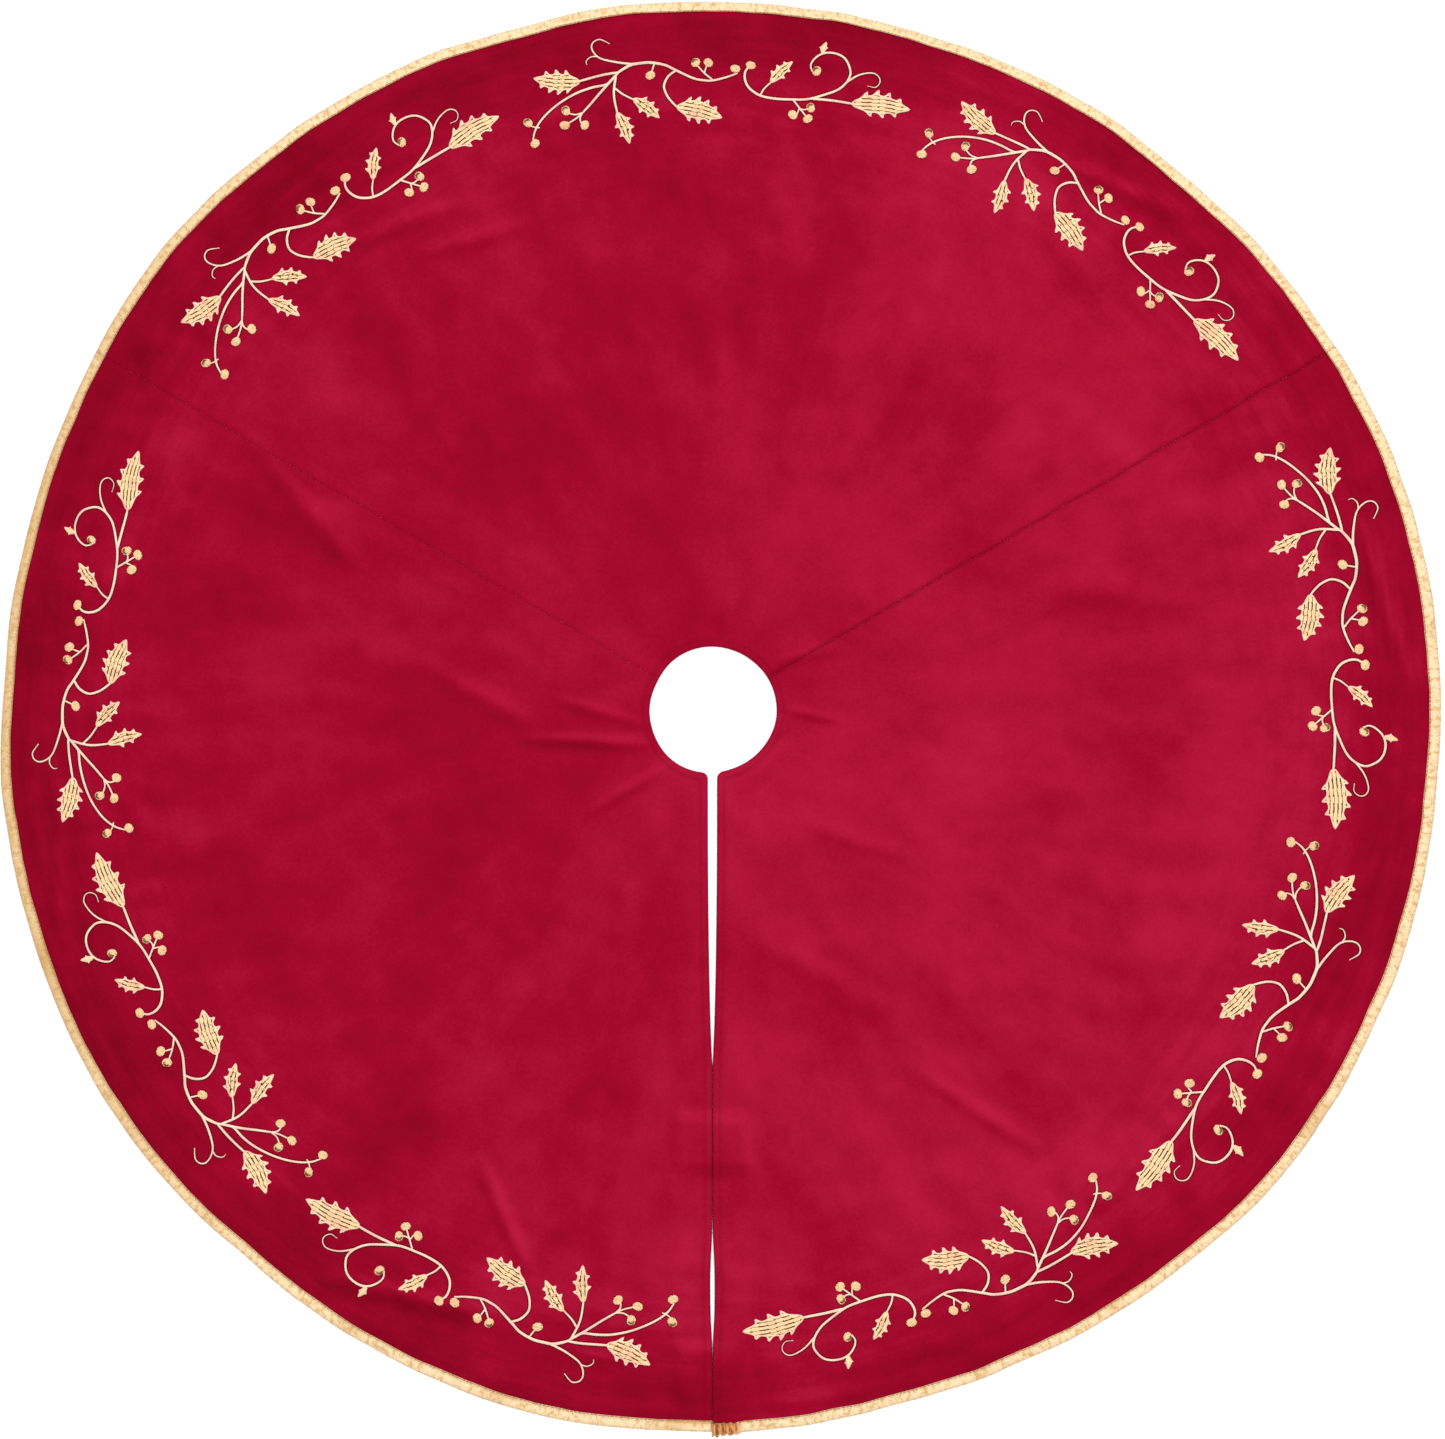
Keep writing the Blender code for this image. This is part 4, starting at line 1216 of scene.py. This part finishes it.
def stemPath(points, first, last):
    line = throughPoints(points, 1.2) * millimetre
    half = np.linspace(first, last, len(line)) * sprigValues["thickness"] * millimetre
    half = half * (1 - 0.25 * (np.linspace(-1, 1, len(line)) ** 10))
    return np.column_stack([line, np.full(len(line), 0.0001), half])


def berryPath(centre, turn, radius):
    reach = np.linspace(-0.95, 0.95, 11)
    across = np.array([math.cos(turn), math.sin(turn)])
    line = np.array(centre) * millimetre + radius * reach[:, None] * across
    return np.column_stack([line, np.full(11, 0.0001), radius * np.sqrt(1 - reach ** 2)])


class Leaf:
    # a holly leaf: bays between spines on both sides, filled with lengthwise stitches
    def __init__(self, base, tip, width, values):
        self.base = np.array(base) * millimetre
        self.along = np.array(tip) * millimetre - self.base
        self.length = np.linalg.norm(self.along)
        self.aside = np.array([-self.along[1], self.along[0]]) / self.length
        self.width = width * millimetre
        self.values = values
        self.spines = dict(zip((1, -1), values["tinySpines"] if self.length < 0.012 else
                               values["fewSpines"] if self.length < 0.031 else values["spines"]))

    def spot(self, share, offset):
        bend = self.values["leafBend"] * self.length * np.sin(np.pi * np.asarray(share))
        return (self.base + np.asarray(share)[..., None] * self.along
                + (np.asarray(offset) + bend)[..., None] * self.aside)

    def shape(self, share, side):
        # how far the edge is from the midrib, and how much of that is a spine
        stops = np.array([0.0, *self.spines[side], 1.0])
        place = np.clip(np.searchsorted(stops, share, side="right") - 1, 0, len(stops) - 2)
        between = (share - stops[place]) / (stops[place + 1] - stops[place])
        bay = 1 - (2 * between - 1) ** 2
        body = np.sin(np.pi * share ** 0.82) ** 0.82
        spine = sum(np.exp(-((share - stop) / self.values["spineShare"]) ** 2) for stop in stops[1:-1])
        spine = spine * min(1, self.length / 0.034) * (1 - 0.35 * share)
        return (self.width / 2 * body * (1.0 - self.values["bayDepth"] * bay)
                + self.values["spineLength"] * spine, spine)

    def fillPaths(self):
        values = self.values
        half = values["fillLength"] / 2
        share = np.linspace(0.015, 0.985, 240)
        step = self.length * (share[1] - share[0])
        paths = []
        count = math.ceil((self.width / 2 + values["spineLength"]) / values["fillRow"])
        for row in range(-count, count + 1):
            offset = (row + 0.3) * values["fillRow"]
            inside = np.abs(offset) < self.shape(share, 1 if offset > 0 else -1)[0] - 0.0003
            if row % values["openEvery"] in (1, 2) and self.width > values["narrowest"]:
                # the dark leaf bed shows between the stitches along here, as painted shade
                inside &= np.sin(share * 15 + (row // 2) * 2.1) > values["openShare"]
            edges = np.flatnonzero(np.diff(np.concatenate([[0], inside.astype(int), [0]])))
            for first, last in zip(edges[::2], edges[1::2] - 1):
                length = (last - first) * step
                if length < values["shortest"]:
                    continue
                reach = min(half, length / 2)
                low = share[first] + reach / self.length * (0.9 if row % 2 else 0.75)
                high = max(share[last] - reach / self.length * 0.9, low + 0.0002 / self.length)
                marks = np.linspace(low, high, max(2, round((high - low) * self.length / 0.002)))
                line = self.spot(marks, np.full(len(marks), offset))
                height = 0.0003 + 0.0005 * (1 - (2 * offset / self.width) ** 2)
                paths.append(np.column_stack([line, np.full(len(marks), max(height, 0.0002)),
                                              np.full(len(marks), reach)]))
        return paths

    def outline(self, margin, steps=120):
        # the spines point forward, towards the tip
        share = np.linspace(0.0, 1.0, steps)
        sides = []
        for side in (1, -1):
            reach, spine = self.shape(share, side)
            sides.append(self.spot(share + self.values["spineLean"] * spine, side * (reach + margin)))
        return np.vstack([sides[0], sides[1][::-1]])

    def edgePath(self):
        line = self.outline(-0.0001)
        apart = np.concatenate([[True], np.linalg.norm(np.diff(line, axis=0), axis=1) > 1e-5])
        line = line[apart]
        return np.column_stack([line, np.full(len(line), 0.00025),
                                np.full(len(line), min(self.values["edgeHalf"], 0.09 * self.width))])


def ribbonMesh(paths, margin):
    # low closed ridges under the stems, in a dark red that paints the shadow beside the thread
    bed = bmesh.new()
    for path in paths:
        path = path[::2] if len(path) > 6 else path
        ahead = np.gradient(path[:, :2], axis=0)
        ahead /= np.linalg.norm(ahead, axis=1)[:, None]
        side = np.column_stack([-ahead[:, 1], ahead[:, 0]]) * (path[:, 3] + margin)[:, None]
        rings = []
        for (x, y), (sx, sy) in zip(path[:, :2], side):
            rings.append([bed.verts.new((x + sx, y + sy, 0.00010)), bed.verts.new((x - sx, y - sy, 0.00010)),
                          bed.verts.new((x, y, 0.00034))])
        for first, second in zip(rings, rings[1:]):
            for a, b in ((0, 1), (1, 2), (2, 0)):
                bed.faces.new((first[a], first[b], second[b], second[a]))
        bed.faces.new(rings[0][::-1])
        bed.faces.new(rings[-1])
    return closedMesh(bed)


def plateMesh(outlines, height):
    # low closed domes under the leaves and berries, whose dark finish paints the shadow round them and
    # between the leaf stitches
    bed = bmesh.new()
    for outline in outlines:
        rim = [bed.verts.new((x, y, height - 0.00015)) for x, y in outline]
        shoulder = outline.mean(axis=0) + (outline - outline.mean(axis=0)) * 0.86
        upper = [bed.verts.new((x, y, height)) for x, y in shoulder]
        for index in range(len(rim)):
            follow = (index + 1) % len(rim)
            bed.faces.new((rim[index], rim[follow], upper[follow], upper[index]))
        bed.faces.new(upper)
        bed.faces.new(rim[::-1])
    return closedMesh(bed)


def closedMesh(shape):
    bmesh.ops.remove_doubles(shape, verts=shape.verts, dist=1e-6)
    bmesh.ops.triangulate(shape, faces=shape.faces)
    bmesh.ops.recalc_face_normals(shape, faces=shape.faces)
    mesh = bpy.data.meshes.new("bed")
    shape.to_mesh(mesh)
    shape.free()
    return mesh


def roundOutline(centre, radius):
    turns = np.linspace(0, fullTurn, 20, endpoint=False)
    return np.array(centre) * millimetre + radius * np.column_stack([np.cos(turns), np.sin(turns)])


def makeMotif(name, drawing, values):
    stems = [stemPath(*stem) for stem in drawing["stems"]]
    leaves = [Leaf(base, tip, leafValues["fullness"] * width, leafValues)
              for base, tip, width in drawing["leaves"]]
    berries = [berryPath(centre, 0.6 + 1.3 * index, values["berryRadius"])
               for index, centre in enumerate(drawing["berries"])]
    edges = [leaf.edgePath() for leaf in leaves]
    fills = [path for leaf in leaves for path in leaf.fillPaths()]
    eyes = []
    for index, centre in enumerate(drawing["berries"]):
        # painted shade: dark olive thread laid as an eye to one side of each berry, and on every third berry
        # as a crescent along its edge, for the dark side of the domed metallic berry
        angles = index * 2.1 + np.linspace(-0.35, 0.35, 4) * (3.4 if index % 3 == 1 else 1.0)
        away = values["crescentAway"] if index % 3 == 1 else values["eyeAway"]
        line = np.array(centre) * millimetre + away * np.column_stack([np.cos(angles), np.sin(angles)])
        eyes.append(np.column_stack([line, np.full(4, 0.0012), [0.0006, 0.0012, 0.0012, 0.0006]]))
    sizes = {"Pitch": values["pitch"], "Span": values["span"], "Arch": values["arch"],
             "Strand": values["strand"], "Slant": 0.07, "Seed": 11}
    satin = stitch("satin", stems + edges, finishes["roseRayon"], **sizes)
    rounded = stitch("satin", berries, finishes["creamRayon"], **sizes)
    eyeSizes = {**sizes, "Pitch": values["eyePitch"], "Arch": values["eyeArch"],
                "Strand": values["eyeStrand"]}
    # painted shade on the berries is stitched in dark thread
    berryShades = stitch("satin", eyes, finishes["oliveThread"], **eyeSizes)
    fillSizes = {**sizes, "Pitch": leafValues["fillLength"] * 0.93, "Span": leafValues["fillLength"],
                 "Arch": 0.0002, "Strand": values["strand"] * 1.05, "Slant": 0.05, "Seed": 5}
    fill = stitch("running", fills, finishes["creamRayon"], **fillSizes)
    # painted shadow: dark beds under the stems, leaves and berries, and a darker one under each leaf's fill
    beds = ribbonMesh(stems, values["outline"])
    rim = values["berryRadius"] + 0.8 * values["outline"]
    rounds = [roundOutline(centre, rim) for centre in drawing["berries"]]
    plates = plateMesh([leaf.outline(0.0009, 40) for leaf in leaves] + rounds, 0.00022)
    gapShadePlates = plateMesh([leaf.outline(-0.0004, 40) for leaf in leaves], 0.00036)
    parts = [(satin, "roseRayon"), (rounded, "creamRayon"), (fill, "creamRayon"), (beds, "pressedPile"),
             (plates, "pressedPile"), (gapShadePlates, "leafBed"), (berryShades, "oliveThread")]
    return joinMeshes(name, [(mesh, finishes[finish]) for mesh, finish in parts])


motifs = {"branch": makeMotif("branchMotif", branchDrawing, sprigValues),
          "scroll": makeMotif("scrollMotif", scrollDrawing, sprigValues)}
for name, (mesh, _) in motifs.items():
    print(name, "motif:", sum(len(face.vertices) - 2 for face in mesh.polygons), "triangles")

sprigRowValues = {
    "radius": hemRadius - 0.0822, "pitch": 37.9,
    "middle": {"back": 89.7, "left": 211.0, "right": 329.1},     # degrees from +X
    # each sprig's own stray outwards (millimetres), round the hem and askew (degrees)
    "outward": {"back": (-0.9, 1.1, -1.6), "left": (-0.7, -2.2, -1.3), "right": (-3.9, -1.6, 0.7)},
    "sideways": {"back": (-0.3, -0.1, 0.1), "left": (0.7, 0.2, -0.5), "right": (-0.3, -0.1, -0.1)},
    "tilt": {"back": (-1, 0, 0), "left": (-0.7, 0, 0.7), "right": (-3, 0.7, -2)},
}


def placeMotif(name, motif, gore, number, values):
    mesh, materials = motif
    sideways = values["sideways"][gore][number - 1]
    angle = math.radians(values["middle"][gore] + values["pitch"] * (number - 2) + sideways - 90)
    places = meshPlaces(mesh)
    askew = math.radians(values["tilt"][gore][number - 1])
    flat = places[:, :2] @ np.array([[math.cos(askew), math.sin(askew)], [-math.sin(askew), math.cos(askew)]])
    flat = flat + [0, values["radius"] + values["outward"][gore][number - 1] * millimetre]
    turn = np.array([[math.cos(angle), math.sin(angle)], [-math.sin(angle), math.cos(angle)]])
    laid = layMap.place(flat @ turn, places[:, 2] + velvetTop)
    copy = mesh.copy()
    copy.name = name
    copy.vertices.foreach_set("co", laid.ravel())
    copy.update()
    return addPiece(name, copy, *materials)


sprigs = {}
for gore in gores:
    for number in (1, 2, 3):
        for motif in motifs:
            name = f"sprig{motif.capitalize()}{gore.capitalize()}{number}"
            sprigs[motif, gore, number] = placeMotif(name, motifs[motif], gore, number, sprigRowValues)
print("sprigs:", len(sprigs))

# Hook-and-loop closures.
closureValues = {
    "rib": 0.0011, "ribDepth": 0.00005,
    "backing": 0.0003, "hookPitch": 0.0016, "loopPitch": 0.0013, "pileHeight": 0.0002, "pileSpan": 0.0011,
    "pileStrand": 0.00011, "pileSlant": 0.6,
}


def slabMesh(name, low, high, step, shape):
    # a thin block with its upper and lower faces divided, and the upper one shaped
    xs = np.linspace(low.x, high.x, max(2, round((high.x - low.x) / step) + 1))
    ys = np.linspace(low.y, high.y, max(2, round((high.y - low.y) / step) + 1))
    grid = np.stack(np.meshgrid(xs, ys, indexing="ij"), axis=-1)
    inset = np.minimum.reduce([grid[..., 0] - low.x, high.x - grid[..., 0], grid[..., 1] - low.y,
                               high.y - grid[..., 1]])
    top = high.z + shape(grid[..., 0]) - 0.00012 * (inset < 1e-6)
    places = np.concatenate([grid, top[..., None]], axis=-1)
    return gridMesh(name, places)


def makeTab(closure, values):
    low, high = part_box(f"closure_tab_{closure}")
    mesh = slabMesh(f"closureTab{closure.capitalize()}", low, high, 0.0005,
                    lambda x: values["ribDepth"] * (np.sin(x / values["rib"] * fullTurn) - 1))
    piece = addPiece(mesh.name, mesh, finishes["closureWebbing"])
    return giveThickness(piece, high.z - low.z - 0.0001)


def makeTape(node, name, finish, pitch, values):
    # a backing with rows of hooks or loops on its lower side, which meets the other tape
    low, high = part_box(node)
    backing = values["backing"]
    body = slabMesh("tapeBacking", Vector((low.x, low.y, 0)), Vector((high.x, high.y, backing)), 0.0015,
                    lambda x: 0.0 * x)
    holder = giveThickness(addPiece("tapeBacking", body), backing)
    backingMesh = holder.data
    bpy.data.objects.remove(holder)
    paths = []
    for index, x in enumerate(np.arange(low.x + pitch, high.x - pitch / 2, pitch)):
        start = low.y + pitch * (1.0 + 0.5 * (index % 2))
        paths.append([(x, start, 0, 0.0005), (x, high.y - pitch, 0, 0.0005)])
    hooks = stitch("satin", paths, finish, Pitch=pitch, Span=values["pileSpan"], Arch=values["pileHeight"],
                   Strand=values["pileStrand"], Slant=values["pileSlant"], Seed=2)
    places = meshPlaces(hooks)
    places[:, 2] += backing - 0.00003
    hooks.vertices.foreach_set("co", places.ravel())
    mesh, materials = joinMeshes(name, [(backingMesh, finish), (hooks, finish)])
    places = meshPlaces(mesh)
    places[:, 2] = high.z - places[:, 2]
    mesh.flip_normals()
    mesh.vertices.foreach_set("co", places.ravel())
    mesh.update()
    return addPiece(name, mesh, *materials)


closures = {}
for closure in closureMiddles:
    closures["tab", closure] = makeTab(closure, closureValues)
    for kind, node in (("hook", "hook_tape"), ("loop", "loop_patch")):
        title = {"hook": "hookTape", "loop": "loopPatch"}[kind] + closure.capitalize()
        closures[kind, closure] = makeTape(f"{node}_{closure}", title, finishes[f"{kind}Nylon"],
                                           closureValues[f"{kind}Pitch"], closureValues)
print("closures ready")


# Floor and light.
studioValues = {
    "floorTone": 0.93, "floorSize": 14.0, "floorLevel": -0.0006,
    # place, size and power of each light
    "overheadSoftbox": ((0.0, -0.3, 3.4), 2.6, 88.0), "sideSoftbox": ((0.7, 3.1, 1.7), 1.1, 46.0),
    "fill": 0.58,
}


def makeFloor(values):
    mesh = bpy.data.meshes.new("paperFloor")
    half = values["floorSize"] / 2
    corners = [(-half, -half, 0), (half, -half, 0), (half, half, 0), (-half, half, 0)]
    mesh.from_pydata(corners, [], [(0, 1, 2, 3)])
    finish = Finish("paleFloor", 0.9, Specular_IOR_Level=0.1)
    tone = values["floorTone"]
    finish.shader.inputs["Base Color"].default_value = (tone, tone, tone, 1)
    floor = addPiece("paperFloor", mesh, finish.material)
    floor.location.z = values["floorLevel"]


def addLight(name, place, size, power):
    light = bpy.data.lights.new(name, "AREA")
    light.shape = "DISK"
    light.size = size
    light.energy = power
    lamp = bpy.data.objects.new(name, light)
    lamp.location = place
    lamp.rotation_euler = (-Vector(place)).to_track_quat("-Z", "Y").to_euler()
    bpy.context.scene.collection.objects.link(lamp)


def makeLight(values):
    for name in ("overheadSoftbox", "sideSoftbox"):
        addLight(name, *values[name])
    world = bpy.data.worlds.new("studio")
    world.use_nodes = True
    background = world.node_tree.nodes["Background"]
    background.inputs["Color"].default_value = (1, 1, 1, 1)
    background.inputs["Strength"].default_value = values["fill"]
    bpy.context.scene.world = world
    bpy.context.scene.view_settings.view_transform = "Standard"


makeFloor(studioValues)
makeLight(studioValues)
print("studio ready")


def joinFrame(piece, gore, slotName, *nodes):
    if nodes:
        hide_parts(*nodes)
    if gore == "back":
        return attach(piece, "back_gore")
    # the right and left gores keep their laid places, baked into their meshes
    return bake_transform(piece)


for gore in gores:
    joinFrame(velvets[gore], gore, "red_velvet", f"velvet_gore_{gore}")
    joinFrame(linings[gore], gore, "red_lining", f"lining_gore_{gore}")
    joinFrame(bindings[gore], gore, "gold_binding", f"hem_binding_{gore}")
    joinFrame(hemStitches[gore], gore, "gold_thread")
for (motif, gore, number), piece in sprigs.items():
    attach(piece, f"{gore}_gore")
    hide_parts(f"sprig_{motif}_{gore}_{number}")
closureSlots = {"tab": ("closure_webbing", "closure_tab"), "hook": ("hook_tape", "hook_tape"),
                "loop": ("loop_patch", "loop_patch")}
for (kind, closure), piece in closures.items():
    slotName, node = closureSlots[kind]
    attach(piece, "right_gore" if kind == "loop" else f"{closure}_tab")
    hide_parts(f"{node}_{closure}")

# Each gore is cut as a third of a ring: chord by depth, and the area of that third.
for gore in gores:
    mates = [bindings[gore], hemStitches[gore]] + [piece for key, piece in sprigs.items() if key[1] == gore]
